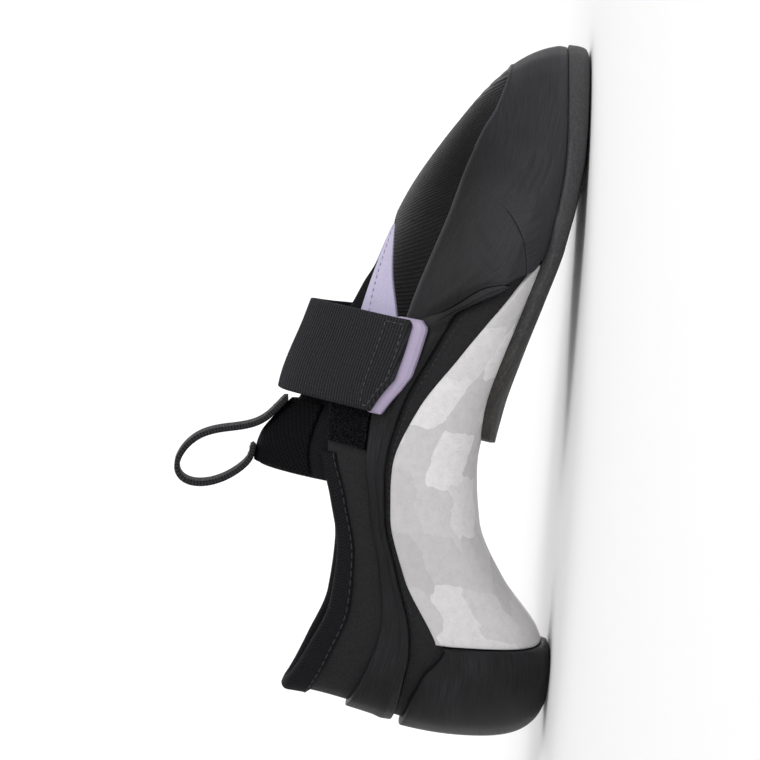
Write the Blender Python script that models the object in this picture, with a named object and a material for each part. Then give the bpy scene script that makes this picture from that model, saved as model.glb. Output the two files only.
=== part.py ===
"""A downturned climbing shoe for the right foot, closed by one strap.

Lengths are metres. The shoe stands on its sole on the plane Z = 0. +X runs to the toe, +Y to the
wearer's left, which is the inner (medial) side, and +Z up. The origin is the middle of the flat
spot under the heel.

The last is one surface of two numbers. The station runs from the outer side of the heel (-HEEL),
round the toe (0), to the inner side of the heel (+HEEL), in steps of one row of LAST. The height
number runs from the middle of the sole (0) over the widest line (1) to the ridge or rim (2).
"""
import math

import bmesh
import bpy
import numpy as np

# Driving sizes of the shoe
SHOE_LENGTH = 0.228
BALL_WIDTH = 0.0755
INSTEP_HEIGHT = 0.079
HEEL_HEIGHT = 0.085
ARCH_RISE = 0.0265

# Thickness of each layer
UPPER_WALL = 0.0020
TONGUE_THICK = 0.0016
INSOLE_THICK = 0.0015
SOLE_THICK = 0.0043
SOLE_EDGE_HEIGHT = 0.0088
SOLE_EDGE_STAND = 0.0027
SOLE_CORNER_INSET = 0.0012
RAND_THICK = 0.0017
PATCH_THICK = 0.0015
PANEL_THICK = 0.0010
HEEL_CUP_THICK = 0.0026
TRIM_THICK = 0.0010
PILE_THICK = 0.0012
BAND_THICK = 0.0014
BINDING_THICK = 0.0010
TAB_THICK = 0.0030
STRAP_THICK = 0.0022
STRAP_WIDTH = 0.0300
LOOP_WIDTH = 0.0120
LOOP_THICK = 0.0018
LOOP_REACH = 0.0260
GAP = 0.00035
SLANT_GAP = 0.00060
TOE_FLAT_DEPTH = 0.0005
HEEL_FLAT_DEPTH = 0.0012

# The last, inside the rubber at toe and heel
LAST_LENGTH = SHOE_LENGTH - RAND_THICK - HEEL_CUP_THICK - 2 * GAP
LAST_WIDTH = BALL_WIDTH - 2 * (RAND_THICK + GAP)
HEEL_SEAT = 0.891
HEEL_REST = 0.918

# Each row: distance of the widest line, the sole's middle and the ridge or rim from the toe, in
# shares of the last's length; outer and inner edge, sole's middle, ridge and half opening, in
# shares of the last's width; rise of the widest line, in shares of the instep's height; lift of
# the sole's middle, in shares of the arch's rise; height of ridge or rim, in shares of the
# instep's height up to the throat and of the heel's height behind it; how much the wall stands
# upright at the rim.
COLUMNS = ("wide_x", "outer", "inner", "rise", "mid_x", "mid_y", "lift", "top_x", "top_y", "open",
           "top_z", "upright")
LAST = (
    (0.000, 0.262, 0.262, 0.078, 0.090, 0.150, 0.000, 0.094, 0.185, 0.000, 0.470, 0.00),
    (0.008, 0.147, 0.360, 0.078, 0.090, 0.150, 0.000, 0.094, 0.185, 0.000, 0.470, 0.00),
    (0.027, 0.035, 0.436, 0.078, 0.090, 0.150, 0.000, 0.094, 0.185, 0.000, 0.470, 0.00),
    (0.054, -0.070, 0.461, 0.083, 0.090, 0.150, 0.000, 0.094, 0.185, 0.000, 0.470, 0.00),
    (0.090, -0.175, 0.462, 0.094, 0.090, 0.150, 0.000, 0.094, 0.185, 0.000, 0.470, 0.00),
    (0.143, -0.294, 0.455, 0.108, 0.143, 0.090, 0.020, 0.148, 0.140, 0.000, 0.578, 0.00),
    (0.206, -0.389, 0.466, 0.130, 0.206, 0.050, 0.090, 0.208, 0.110, 0.000, 0.682, 0.00),
    (0.278, -0.458, 0.497, 0.128, 0.278, 0.025, 0.235, 0.252, 0.075, 0.000, 0.742, 0.00),
    (0.358, -0.482, 0.513, 0.138, 0.358, 0.015, 0.455, 0.345, 0.040, 0.072, 0.835, 0.05),
    (0.439, -0.459, 0.478, 0.165, 0.439, 0.008, 0.680, 0.430, 0.020, 0.130, 0.900, 0.20),
    (0.524, -0.408, 0.407, 0.203, 0.524, 0.000, 0.885, 0.515, 0.000, 0.178, 0.975, 0.45),
    (0.609, -0.370, 0.354, 0.221, 0.609, 0.000, 1.000, 0.590, 0.000, 0.235, 0.990, 0.75),
    (0.694, -0.352, 0.334, 0.253, 0.694, 0.000, 0.930, 0.665, 0.000, 0.285, 0.935, 0.95),
    (0.779, -0.345, 0.332, 0.300, 0.779, 0.000, 0.590, 0.745, 0.000, 0.300, 0.890, 1.00),
    (0.851, -0.340, 0.332, 0.342, 0.846, 0.000, 0.150, 0.820, 0.000, 0.282, 0.905, 1.00),
    (0.914, -0.304, 0.298, 0.342, HEEL_SEAT, 0.000, 0.000, 0.885, 0.000, 0.226, 0.975, 1.00),
    (0.958, -0.219, 0.215, 0.330, HEEL_SEAT, 0.000, 0.000, 0.928, 0.000, 0.150, 1.030, 1.00),
    (0.987, -0.114, 0.113, 0.323, HEEL_SEAT, 0.000, 0.000, 0.950, 0.000, 0.072, 1.065, 1.00),
    (1.000, 0.000, 0.000, 0.323, HEEL_SEAT, 0.000, 0.000, 0.957, 0.000, 0.000, 1.076, 1.00),
)
HEEL = len(LAST) - 1
THROAT_ROW = 7
TOE_ROW = 4
RIDGE_SLOPE = 0.73

# Borders on the last: each pair is a station and a height number
PATCH_LOW = ((0.0, 1.50), (3.5, 1.55), (4.5, 1.57), (6.0, 1.50), (8.7, 1.50))
TRIM_LOW = ((7.0, 2.00), (7.4, 1.84), (7.8, 1.73), (8.2, 1.63), (8.7, 1.53))
PANEL_TOP = ((7.3, 0.66), (7.7, 0.82), (8.4, 1.00), (9.2, 1.08), (10.0, 1.17), (10.9, 1.27),
             (12.0, 1.31), (13.0, 1.28), (14.2, 1.16))
SLING_LOW = ((7.7, 0.92), (8.3, 1.20), (9.2, 1.24), (10.0, 1.27), (10.9, 1.31), (12.0, 1.35),
             (13.5, 1.34), (15.0, 1.34), (18.0, 1.36))
SLING_HIGH = ((7.7, 0.96), (8.3, 1.24), (8.6, 1.42), (8.9, 1.50), (10.9, 1.52), (12.0, 1.56),
              (14.0, 1.60), (16.0, 1.64), (18.0, 1.66))
CUP_TOP = ((14.4, 1.10), (15.0, 1.24), (16.0, 1.30), (18.0, 1.33))
RAND_END = ((0.0, 7.48), (0.6, 6.15), (1.0, 5.80))
WING_END = ((0.0, 7.68), (0.3, 7.80), (0.6, 8.30), (1.0, 8.60))
SOLE_REAR_START = 8.6
SOLE_REAR_END = 10.55
TONGUE_FRONT = 6.6
TONGUE_REAR = 11.7
BAND_FRONT = 10.25
PILE_FRONT = 8.75
PILE_REAR = 10.9
BRIDGE_FOOT = 1.62
BRIDGE_REACH = 0.78
STRAP_MIDDLE = 9.35


def smooth_column(values):
    """Gives the slopes of a smooth curve that never overshoots its points."""
    steps = np.diff(values)
    slopes = np.zeros(len(values))
    for i in range(1, len(values) - 1):
        before, after = steps[i - 1], steps[i]
        if before * after > 0:
            slopes[i] = 2 * before * after / (before + after)
    return slopes


def last_table():
    """Gives each column with one mirrored row beyond either end, and its slopes."""
    table = {}
    for number, name in enumerate(COLUMNS):
        column = [row[number] for row in LAST]
        first, final = column[1], column[-2]
        if name == "outer":
            first, final = LAST[1][2], LAST[-2][2]
        if name == "inner":
            first, final = LAST[1][1], LAST[-2][1]
        if name == "open":
            final = -final
        values = np.array([first, *column, final])
        table[name] = (values, smooth_column(values))
    return table


TABLE = last_table()


def column_at(name, station):
    """Reads one column of the last at a station from 0, the toe, to HEEL."""
    values, slopes = TABLE[name]
    low = min(int(station), HEEL - 1)
    u = station - low
    i = low + 1
    return ((1 + 2 * u) * (1 - u) ** 2 * values[i] + u * (1 - u) ** 2 * slopes[i]
            + u * u * (3 - 2 * u) * values[i + 1] - u * u * (1 - u) * slopes[i + 1])


def border(pairs, station):
    """Reads a border, a list of pairs, at a station."""
    return float(np.interp(station, [p[0] for p in pairs], [p[1] for p in pairs]))


def from_toe(share):
    """Turns a share of the last's length, measured from the toe, into X."""
    return (HEEL_REST - share) * LAST_LENGTH


def panel_share(station):
    """Gives how much of the pale panel lies between the upper and the sole."""
    return min(max((station - 6.5) / 0.5, 0.0), 1.0)


def underside(station):
    """Gives what lies between the last's sole and the ground surface of the rubber."""
    panel = (PANEL_THICK + GAP) * panel_share(station)
    front = SOLE_THICK + GAP - TOE_FLAT_DEPTH
    rear = HEEL_CUP_THICK + GAP - HEEL_FLAT_DEPTH
    share = min(max((station - TOE_ROW) / (HEEL - 3 - TOE_ROW), 0.0), 1.0)
    return front + (rear - front) * share + panel * (1 - share)


def anchors(station, side):
    """Gives a section's sole middle, widest point and ridge or rim, and its upright share."""
    read = {name: column_at(name, station) for name in COLUMNS}
    low = underside(station) + read["lift"] * ARCH_RISE
    high = INSTEP_HEIGHT
    if station > THROAT_ROW + 4:
        share = min((station - THROAT_ROW - 4) / (HEEL - THROAT_ROW - 4), 1.0)
        high = INSTEP_HEIGHT + (HEEL_HEIGHT / 1.076 - INSTEP_HEIGHT) * share
    middle = np.array([from_toe(read["mid_x"]), read["mid_y"] * LAST_WIDTH, low])
    edge = read["inner"] if side > 0 else read["outer"]
    widest = np.array([from_toe(read["wide_x"]), edge * LAST_WIDTH,
                       low + read["rise"] * INSTEP_HEIGHT])
    half = read["open"] if station > THROAT_ROW else 0.0
    top = np.array([from_toe(read["top_x"]), (read["top_y"] + side * half) * LAST_WIDTH,
                    read["top_z"] * high])
    return middle, widest, top, read["upright"]


def bezier(p0, p1, p2, p3, u):
    """Gives a point on a curve of four control points."""
    v = 1 - u
    return v ** 3 * p0 + 3 * v * v * u * p1 + 3 * v * u * u * p2 + u ** 3 * p3


def last_point(t, w):
    """Gives a point of the last's surface."""
    station, side = abs(t), (1 if t > 0 else -1)
    middle, widest, top, upright = anchors(station, side)
    if w <= 1:
        out = widest - middle
        near = middle + 0.80 * np.array([out[0], out[1], 0.0])
        far = widest - 0.84 * np.array([0.0, 0.0, out[2]])
        return bezier(middle, near, far, widest, w)
    over = top - widest
    lean = 0.10 * (1 - upright)
    near = widest + np.array([lean * over[0], lean * over[1], 0.40 * over[2]])
    drop = RIDGE_SLOPE * max(-over[0], 0.0) * 0.5
    ridge = top - np.array([0.5 * over[0], 0.5 * over[1], drop])
    rim = top - np.array([0.16 * over[0], 0.16 * over[1], 0.36 * over[2]])
    return bezier(widest, near, ridge + (rim - ridge) * upright, top, w - 1)


def weld_numbers(points):
    """Numbers the points of a grid so that points in one place share a number."""
    numbers = {}
    grid = np.zeros(points.shape[:2], dtype=int)
    for i in range(points.shape[0]):
        for j in range(points.shape[1]):
            key = tuple(np.round(points[i, j] * 2e6).astype(int))
            grid[i, j] = numbers.setdefault(key, len(numbers))
    return grid, len(numbers)


def grid_normals(points):
    """Gives a grid's unit normals, one for all points that lie in one place."""
    ids, count = weld_numbers(points)
    total = np.zeros((count, 3))
    cross = np.cross(points[1:, 1:] - points[:-1, :-1], points[:-1, 1:] - points[1:, :-1])
    for i in range(cross.shape[0]):
        for j in range(cross.shape[1]):
            for a, b in ((i, j), (i + 1, j), (i, j + 1), (i + 1, j + 1)):
                total[ids[a, b]] += cross[i, j]
    total /= np.maximum(np.linalg.norm(total, axis=1), 1e-12)[:, None]
    return total[ids]


class Surface:
    """A surface of two numbers, with normals, on which pieces lie at chosen heights."""

    def __init__(self, place, first, second, way=1):
        self.place = place
        self.first = np.array(first)
        self.second = np.array(second)
        points = np.array([[place(a, b) for b in second] for a in first])
        self.normals = way * grid_normals(points)

    def normal(self, a, b):
        """Reads the unit normal between the grid's lines."""
        i = min(max(int(np.searchsorted(self.first, a) - 1), 0), len(self.first) - 2)
        j = min(max(int(np.searchsorted(self.second, b) - 1), 0), len(self.second) - 2)
        u = (a - self.first[i]) / (self.first[i + 1] - self.first[i])
        v = (b - self.second[j]) / (self.second[j + 1] - self.second[j])
        n = self.normals
        mix = ((1 - u) * (1 - v) * n[i, j] + u * (1 - v) * n[i + 1, j]
               + (1 - u) * v * n[i, j + 1] + u * v * n[i + 1, j + 1])
        return mix / np.linalg.norm(mix)

    def at(self, a, b, height):
        """Gives the point at a height above the surface."""
        return self.place(a, b) + height * self.normal(a, b)


STATIONS = [i / 2 for i in range(2 * HEEL + 1)]
SOLE_LINES = [0.0, 0.25, 0.45, 0.6, 0.73, 0.87]
WALL_LINES = [1.0, 1.15, 1.3, 1.45, 1.6, 1.75, 1.88, 2.0]
NEAR_LINE = 0.035
HEIGHTS = [0.0, 0.07, 0.15, 0.24, 0.36, 0.5, 0.66, 0.83, 1.0]
SKIN = Surface(last_point, [i / 4 for i in range(-4 * HEEL, 4 * HEEL + 1)],
               [i / 16 for i in range(33)])


def make_material(name, rgb, roughness):
    """Makes a plain finish."""
    material = bpy.data.materials.new(name)
    material.use_nodes = True
    shader = material.node_tree.nodes["Principled BSDF"]
    shader.inputs["Base Color"].default_value = (*rgb, 1.0)
    shader.inputs["Roughness"].default_value = roughness
    shader.inputs["Metallic"].default_value = 0.0
    material.diffuse_color = (*rgb, 1.0)
    return material


def sheet(name, under, over, material):
    """Makes one closed piece between two grids of points, welded where the grid meets itself."""
    under, over = np.array(under), np.array(over)
    ids, count = weld_numbers(over)
    low, high = np.zeros((count, 3)), np.zeros((count, 3))
    for i in range(ids.shape[0]):
        for j in range(ids.shape[1]):
            high[ids[i, j]] = over[i, j]
            low[ids[i, j]] = under[i, j]
    faces = []
    for i in range(ids.shape[0] - 1):
        for j in range(ids.shape[1] - 1):
            ring = [ids[i, j], ids[i + 1, j], ids[i + 1, j + 1], ids[i, j + 1]]
            ring = [v for k, v in enumerate(ring) if v != ring[k - 1]]
            if len(set(ring)) == len(ring) and len(ring) > 2:
                faces.append(ring)
    used = {}
    for ring in faces:
        for k, v in enumerate(ring):
            edge = (ring[k - 1], v)
            used[edge] = used.get(edge, 0) + 1
    mesh = bpy.data.meshes.new(name)
    body = bmesh.new()
    upper = [body.verts.new(p) for p in high]
    lower = [body.verts.new(p) for p in low]
    for ring in faces:
        body.faces.new([upper[v] for v in ring])
        body.faces.new([lower[v] for v in reversed(ring)])
    for a, b in used:
        if (b, a) not in used:
            body.faces.new([upper[b], upper[a], lower[a], lower[b]])
    loose = [v for v in body.verts if not v.link_faces]
    bmesh.ops.delete(body, geom=loose, context="VERTS")
    bmesh.ops.recalc_face_normals(body, faces=body.faces)
    body.to_mesh(mesh)
    body.free()
    mesh.shade_smooth()
    mesh.set_sharp_from_angle(angle=math.radians(35))
    mesh.materials.append(material)
    part = bpy.data.objects.new(name, mesh)
    bpy.context.scene.collection.objects.link(part)
    return part


def laid(name, places, under, over, material, surface=SKIN):
    """Makes a piece from a grid of places on a surface, between two heights above it."""
    low = [[surface.at(a, b, under) for a, b in row] for row in places]
    high = [[surface.at(a, b, over) for a, b in row] for row in places]
    return sheet(name, low, high, material)


def stations_between(start, end):
    """Gives the last's stations from one to another, both included."""
    inner = [s for s in STATIONS if start + 0.2 < s < end - 0.2]
    return [start, *inner, end]


def both_sides(stations):
    """Gives stations from the outer side round the toe to the inner side."""
    return [-s for s in reversed(stations)] + [s for s in stations if s > 0]


def shares(count):
    """Gives evenly spaced shares from 0 to 1."""
    return [i / count for i in range(count + 1)]


def between(low, high):
    """Gives the last's lines from one height number to another, both ends exact."""
    row = []
    for line in SOLE_LINES + WALL_LINES:
        inside = low + NEAR_LINE < line < high - NEAR_LINE
        row.append(line if inside else (low if line < high - NEAR_LINE else high))
    row[0], row[-1] = low, high
    return row


def over_sole(station, top):
    """Gives the places of one row from the outer border under the sole to the inner border."""
    row = between(0.0, top)
    return [(-station, w) for w in reversed(row)] + [(station, w) for w in row[1:]]


def across_sole(station, edge, columns):
    """Gives the places of one row that crosses the middle of the sole."""
    row = [(-station, edge * c) for c in reversed(columns)]
    return row + [(station, edge * c) for c in columns[1:]]


def sole_edge(station):
    """Finds the height number of the sole's seam, at the set height above the ground surface."""
    lift = GAP + (PANEL_THICK + GAP) * panel_share(station)
    base = SKIN.place(-station, 0.0)[2] - lift - SOLE_THICK
    low, high = 0.3, 1.0
    for _ in range(24):
        middle = (low + high) / 2
        if SKIN.place(-station, middle)[2] - base < SOLE_EDGE_HEIGHT:
            low = middle
        else:
            high = middle
    return low


def make_upper(material):
    """The hollow sock of the shoe, closed underneath, open at throat and collar."""
    lines = SOLE_LINES + WALL_LINES
    places = [[(t, w) for w in lines] for t in both_sides(STATIONS)]
    return laid("upper", places, -UPPER_WALL, 0.0, material)


def make_insole(material):
    """A thin sheet on the inside of the sole."""
    top = UPPER_WALL + GAP + INSOLE_THICK
    columns = [0.0, 0.25, 0.45, 0.58]
    stations = [s for s in STATIONS if s == int(s) or 8.0 < s < 15.0]
    places = [across_sole(s, 1.0, columns) for s in stations]
    return laid("insole", places, -top, -UPPER_WALL - GAP, material)


def dome_point(q, c):
    """The tongue's outer face: under the throat's edges and arched over the opening between."""
    depth = -(UPPER_WALL + GAP)
    hold = 2.0 - 0.08 * min(max(8.0 - q, 0.0), 1.0)
    tuck = hold - 1.75
    if abs(c) >= 1:
        w = hold - tuck * (abs(c) - 1)
        return SKIN.at(math.copysign(q, c), w, depth)
    left, right = SKIN.at(-q, hold, depth), SKIN.at(q, hold, depth)
    left_low, right_low = SKIN.at(-q, hold - 0.06, depth), SKIN.at(q, hold - 0.06, depth)
    span = np.linalg.norm(right - left)
    reach = span * float(np.interp(q, [7.0, 8.0, 9.0, 10.0, 11.0], [0.34, 0.62, 0.74, 0.84, 0.96]))
    up_left = (left - left_low) / np.linalg.norm(left - left_low)
    up_right = (right - right_low) / np.linalg.norm(right - right_low)
    return bezier(left, left + reach * up_left, right + reach * up_right, right, (c + 1) / 2)


DOME = Surface(dome_point, [TONGUE_FRONT + i * (TONGUE_REAR + 0.3 - TONGUE_FRONT) / 30
                            for i in range(31)], [i / 10 for i in range(-20, 21)], -1)


def make_tongue(material):
    """The knitted gusset that fills the throat and stands up at the collar's front."""
    stations = [TONGUE_FRONT, 7.0, 7.5, 8.0, 8.5, 9.0, 9.5, 10.0, 10.5, 11.0, TONGUE_REAR]
    columns = [-2.0, -1.48, -1.0, -0.75, -0.5, -0.25, 0.0, 0.25, 0.5, 0.75, 1.0, 1.48, 2.0]
    places = [[(s, c) for c in columns] for s in stations]
    return laid("tongue", places, -TONGUE_THICK, 0.0, material, DOME)


def make_outsole(material):
    """The half sole: flat below, with an upright edge band, a toe flat and a rounded rear."""
    stations = [s for s in STATIONS if s <= SOLE_REAR_START - 0.3]
    edges = [sole_edge(s) for s in stations]
    full = sole_edge(SOLE_REAR_START)
    turns = 6
    for k in range(turns + 1):
        angle = math.radians(84) * k / turns
        stations.append(SOLE_REAR_START + (SOLE_REAR_END - SOLE_REAR_START) * math.sin(angle))
        edges.append(full * math.cos(angle) ** 0.5)
    columns = [0.0, 0.35, 0.7, 0.9, 0.96, 1.0]
    corner = 3
    under, over = [], []
    for station, edge in zip(stations, edges):
        places = across_sole(station, edge, columns)
        lift = GAP + (PANEL_THICK + GAP) * panel_share(station)
        top_row = [SKIN.at(t, w, lift) for t, w in places]
        depth = lift + SOLE_THICK
        middle = SKIN.at(station, 0.0, depth)
        low_row = []
        for number, (t, w) in enumerate(places):
            column = abs(number - (len(columns) - 1))
            seam = SKIN.at(math.copysign(station, t), edge, lift + SOLE_EDGE_STAND)
            foot = SKIN.at(math.copysign(station, t), edge, lift)
            out = seam - middle
            width = np.linalg.norm(out[:2])
            if width < 1e-6:
                low_row.append(middle)
                continue
            way = np.array([out[0], out[1], 0.0]) / width
            ground = SKIN.at(math.copysign(station, t), min(0.5, edge), depth)[2]
            reach = max(width - SOLE_CORNER_INSET, 0.6 * width)
            if column < corner:
                share = columns[column] / columns[corner]
                point = middle + way * reach * share
                point[2] = middle[2] + (ground - middle[2]) * share * share
            elif column == corner:
                point = middle + way * reach
                point[2] = ground + 0.0006
            elif column == corner + 1:
                point = middle + way * (reach + 0.8 * (width - reach))
                point[2] = ground + 0.35 * (foot[2] - ground)
            else:
                point = seam
            low_row.append(point)
        for point in low_row:
            point[2] = max(point[2], 0.0)
        under.append(low_row)
        over.append(top_row)
    return sheet("outsole", over, under, material)


def rubber_foot(station):
    """Gives the lower border of the rubber over the sole's seam, the pale panel and the sling."""
    foot = sole_edge(station) + 0.02
    if station > 7.2:
        foot = max(foot, border(PANEL_TOP, station) + 0.02)
    if station > 7.5:
        above = max(foot, border(SLING_HIGH, station) + 0.015)
        foot += (above - foot) * min((station - 7.5) / 0.2, 1.0)
    return foot


def rubber_place(side, station, share):
    """Gives a place between the rubber's lower border and the grooved patch."""
    foot, roof = rubber_foot(station), border(PATCH_LOW, station) - 0.012
    return (side * station, foot + (roof - foot) * share)


def make_toe_rand(material):
    """The smooth rubber round the toe, from the sole's seam up to the grooved patch."""
    whole = [s for s in STATIONS if s <= 5.0]
    rows = 5
    heights = HEIGHTS
    places = []
    for side in (-1, 1):
        part = [[rubber_place(side, s, h) for h in heights] for s in whole]
        for k in range(1, rows + 1):
            part.append([rubber_place(side, 5.0 + (border(RAND_END, h) - 5.0) * k / rows, h)
                         for h in heights])
        places = part[::-1] if side < 0 else places + part[1:]
    return laid("toe_rand", places, GAP, GAP + RAND_THICK, material)


def make_wing(name, side, material):
    """The rubber wing behind the toe rand, which runs up to the strap and ends at the crease."""
    rows = 6
    places = []
    for k in range(rows + 1):
        row = []
        for h in HEIGHTS:
            start, end = border(RAND_END, h) + 0.06, border(WING_END, h)
            row.append(rubber_place(side, start + (end - start) * k / rows, h))
        places.append(row)
    if side > 0:
        places = places[::-1]
    return laid(name, places, SLANT_GAP, GAP + RAND_THICK, material)


def make_toe_patch(material):
    """The grooved rubber over the toes, split behind by the throat."""
    front = [s for s in STATIONS if s <= THROAT_ROW]
    places = []
    for s in front:
        row = between(border(PATCH_LOW, s), 2.0)
        places.append([(-s, w) for w in row] + [(s, w) for w in reversed(row[:-1])])
    return laid("toe_patch", places, GAP, GAP + PATCH_THICK, material)


def make_patch_arm(name, side, material):
    """One arm of the grooved patch, beside the throat, tapering to the strap."""
    places = []
    for s in (THROAT_ROW + 0.06, 7.5, 8.0, 8.25, 8.5, 8.66):
        high = min(border(TRIM_LOW, s) - 0.012, 1.96)
        places.append([(side * s, w) for w in between(border(PATCH_LOW, s), high)])
    return laid(name, places, SLANT_GAP, GAP + PATCH_THICK, material)


def make_trim(name, side, material):
    """The coloured edging beside the throat, which widens towards the strap."""
    places = []
    for s in (7.2, 7.5, 8.0, 8.5, PILE_FRONT - 0.04):
        places.append([(side * s, w) for w in between(border(TRIM_LOW, s) + 0.004, 1.995)])
    return laid(name, places, GAP, GAP + TRIM_THICK, material)


def make_pile(material):
    """The fuzzy patch on the outer side that the strap's hooks hold."""
    places = []
    for s in stations_between(PILE_FRONT, PILE_REAR):
        places.append([(-s, w) for w in between(border(SLING_HIGH, s) + 0.02, 1.985)])
    return laid("loop_patch", places, GAP, GAP + PILE_THICK, material)


def make_sling(material):
    """The tensioned rubber band from the crease on each side round the heel."""
    stations = [7.74, 8.0, 8.3, 8.6, 8.9] + [s for s in STATIONS if 9.0 < s <= HEEL]
    rows = [-s for s in stations] + [s for s in reversed(stations[:-1])]
    places = []
    for t in rows:
        row = between(border(SLING_LOW, abs(t)) + 0.01, border(SLING_HIGH, abs(t)))
        places.append([(t, w) for w in row])
    return laid("sling_rand", places, GAP, GAP + RAND_THICK, material)


def make_heel_cup(material):
    """The rubber under and round the heel, with the flat spot that it stands on."""
    stations = [14.4] + [s for s in STATIONS if 14.6 < s <= HEEL]
    under, over = [], []
    for s in stations:
        places = over_sole(s, border(CUP_TOP, s))
        under.append([SKIN.at(t, w, GAP) for t, w in places])
        row = [SKIN.at(t, w, GAP + HEEL_CUP_THICK) for t, w in places]
        for point in row:
            point[2] = max(point[2], 0.0)
        over.append(row)
    return sheet("heel_cup", under, over, material)


def make_arch_panel(material):
    """The pale panel under the arch and up both sides of the waist."""
    stations = [7.3, 7.7, 8.0, 8.4] + [s for s in STATIONS if 8.6 < s < 14.2] + [14.25]
    places = [over_sole(s, border(PANEL_TOP, s) - 0.01) for s in stations]
    return laid("arch_panel", places, GAP, GAP + PANEL_THICK, material)


def make_binding(material):
    """The edging round the collar."""
    stations = [11.1] + [s for s in STATIONS if 11.3 < s <= HEEL]
    rows = [-s for s in stations] + [s for s in reversed(stations[:-1])]
    places = [[(t, w) for w in (1.88, 2.0)] for t in rows]
    return laid("collar_binding", places, GAP, GAP + BINDING_THICK, material)


def make_band(material):
    """The elastic web over the tongue's rear, between the throat's edges."""
    columns = [-0.84, -0.5, -0.25, 0.0, 0.25, 0.5, 0.84]
    places = [[(s, c) for c in columns] for s in (BAND_FRONT, 10.5, 11.0, TONGUE_REAR - 0.06)]
    return laid("elastic_band", places, SLANT_GAP, GAP + BAND_THICK, material, DOME)


def girdle_point(q, c):
    """The strap's way: up the outer side, free over the throat, down the inner side."""
    lift = GAP + RAND_THICK + GAP
    if abs(c) >= 1:
        return SKIN.at(math.copysign(q, c), BRIDGE_FOOT - (abs(c) - 1), lift)
    left, right = SKIN.at(-q, BRIDGE_FOOT, lift), SKIN.at(q, BRIDGE_FOOT, lift)
    left_low = SKIN.at(-q, BRIDGE_FOOT - 0.06, lift)
    right_low = SKIN.at(q, BRIDGE_FOOT - 0.06, lift)
    reach = BRIDGE_REACH * np.linalg.norm(right - left)
    up_left = (left - left_low) / np.linalg.norm(left - left_low)
    up_right = (right - right_low) / np.linalg.norm(right - right_low)
    return bezier(left, left + reach * up_left, right + reach * up_right, right, (c + 1) / 2)


GIRDLE = Surface(girdle_point, [8.0 + i * 0.1 for i in range(29)],
                 [i / 20 for i in range(-32, 33)], -1)


def station_at(x):
    """Finds the station of the ridge line at a place along the shoe."""
    low, high = float(THROAT_ROW), float(HEEL - 4)
    for _ in range(30):
        middle = (low + high) / 2
        if from_toe(column_at("wide_x", middle)) > x:
            low = middle
        else:
            high = middle
    return low


def girdle_row(c, half_width):
    """Gives the strap's stations across its width at one place of its run."""
    x = from_toe(column_at("wide_x", STRAP_MIDDLE))
    return [(station_at(x + half_width * f), c) for f in (1.0, 0.5, 0.0, -0.5, -1.0)]


def make_tab(material):
    """The moulded tab that stiffens the strap's free end and carries its hooks."""
    half = STRAP_WIDTH / 2 + 0.0006
    rows = [(-1.33, 0.55), (-1.27, 0.80), (-1.20, 0.98), (-1.10, 1.0), (-1.0, 1.0), (-0.85, 1.0),
            (-0.7, 1.0), (-0.55, 1.0), (-0.45, 1.0)]
    places = [girdle_row(c, half * share) for c, share in rows]
    return laid("strap_tab", places, 0.0, TAB_THICK, material, GIRDLE)


def make_strap(material):
    """The webbing strap, from its sewn end on the inner side over the throat to the tab."""
    half = STRAP_WIDTH / 2
    rows = [(-1.25, 0.5), (-1.19, 0.78), (-1.13, 0.97), (-1.05, 1.0)]
    rows += [(-1.0 + 0.125 * i, 1.0) for i in range(17)] + [(1.12, 1.0), (1.24, 1.0), (1.36, 1.0)]
    under, over = [], []
    for c, share in rows:
        rise = (TAB_THICK + GAP) * (1 - float(np.interp(c, [-0.30, 0.45], [0.0, 1.0])))
        places = girdle_row(c, half * share)
        under.append([GIRDLE.at(q, d, rise) for q, d in places])
        over.append([GIRDLE.at(q, d, rise + STRAP_THICK) for q, d in places])
    return sheet("strap", under, over, material)


def make_pull_loop(material):
    """The loop of webbing at the front of the collar, sewn on over the elastic web."""
    lift = GAP + BAND_THICK + GAP
    start, near = DOME.at(BAND_FRONT + 0.05, 0.0, lift), DOME.at(BAND_FRONT + 0.45, 0.0, lift)
    top = lift + LOOP_THICK
    seat, back = DOME.at(TONGUE_REAR - 0.35, 0.0, top), DOME.at(TONGUE_REAR - 0.10, 0.0, top)
    along = (near - start) / np.linalg.norm(near - start)
    rise = np.array([-along[2], 0.0, along[0]])
    rise *= -1 if rise[2] < 0 else 1
    peak = back + along * LOOP_REACH * 0.55 + rise * LOOP_REACH * 0.62
    outward = [bezier(near, near + along * 0.012, peak - along * 0.014 + rise * 0.003, peak, u)
               for u in shares(7)]
    home = [bezier(peak, peak + along * 0.011 - rise * 0.003, back + along * 0.016, back, u)
            for u in shares(7)]
    path = [start] + outward + home[1:] + [seat]
    path = np.array(path)
    tangents = np.gradient(path, axis=0)
    across = np.array([0.0, 1.0, 0.0])
    under, over = [], []
    for point, tangent in zip(path, tangents):
        normal = np.cross(across, tangent / np.linalg.norm(tangent))
        under_row, over_row = [], []
        for f in (-0.5, 0.0, 0.5):
            base = point + across * LOOP_WIDTH * f
            under_row.append(base)
            over_row.append(base + normal * LOOP_THICK)
        under.append(under_row)
        over.append(over_row)
    return sheet("front_pull_loop", under, over, material)


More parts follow.
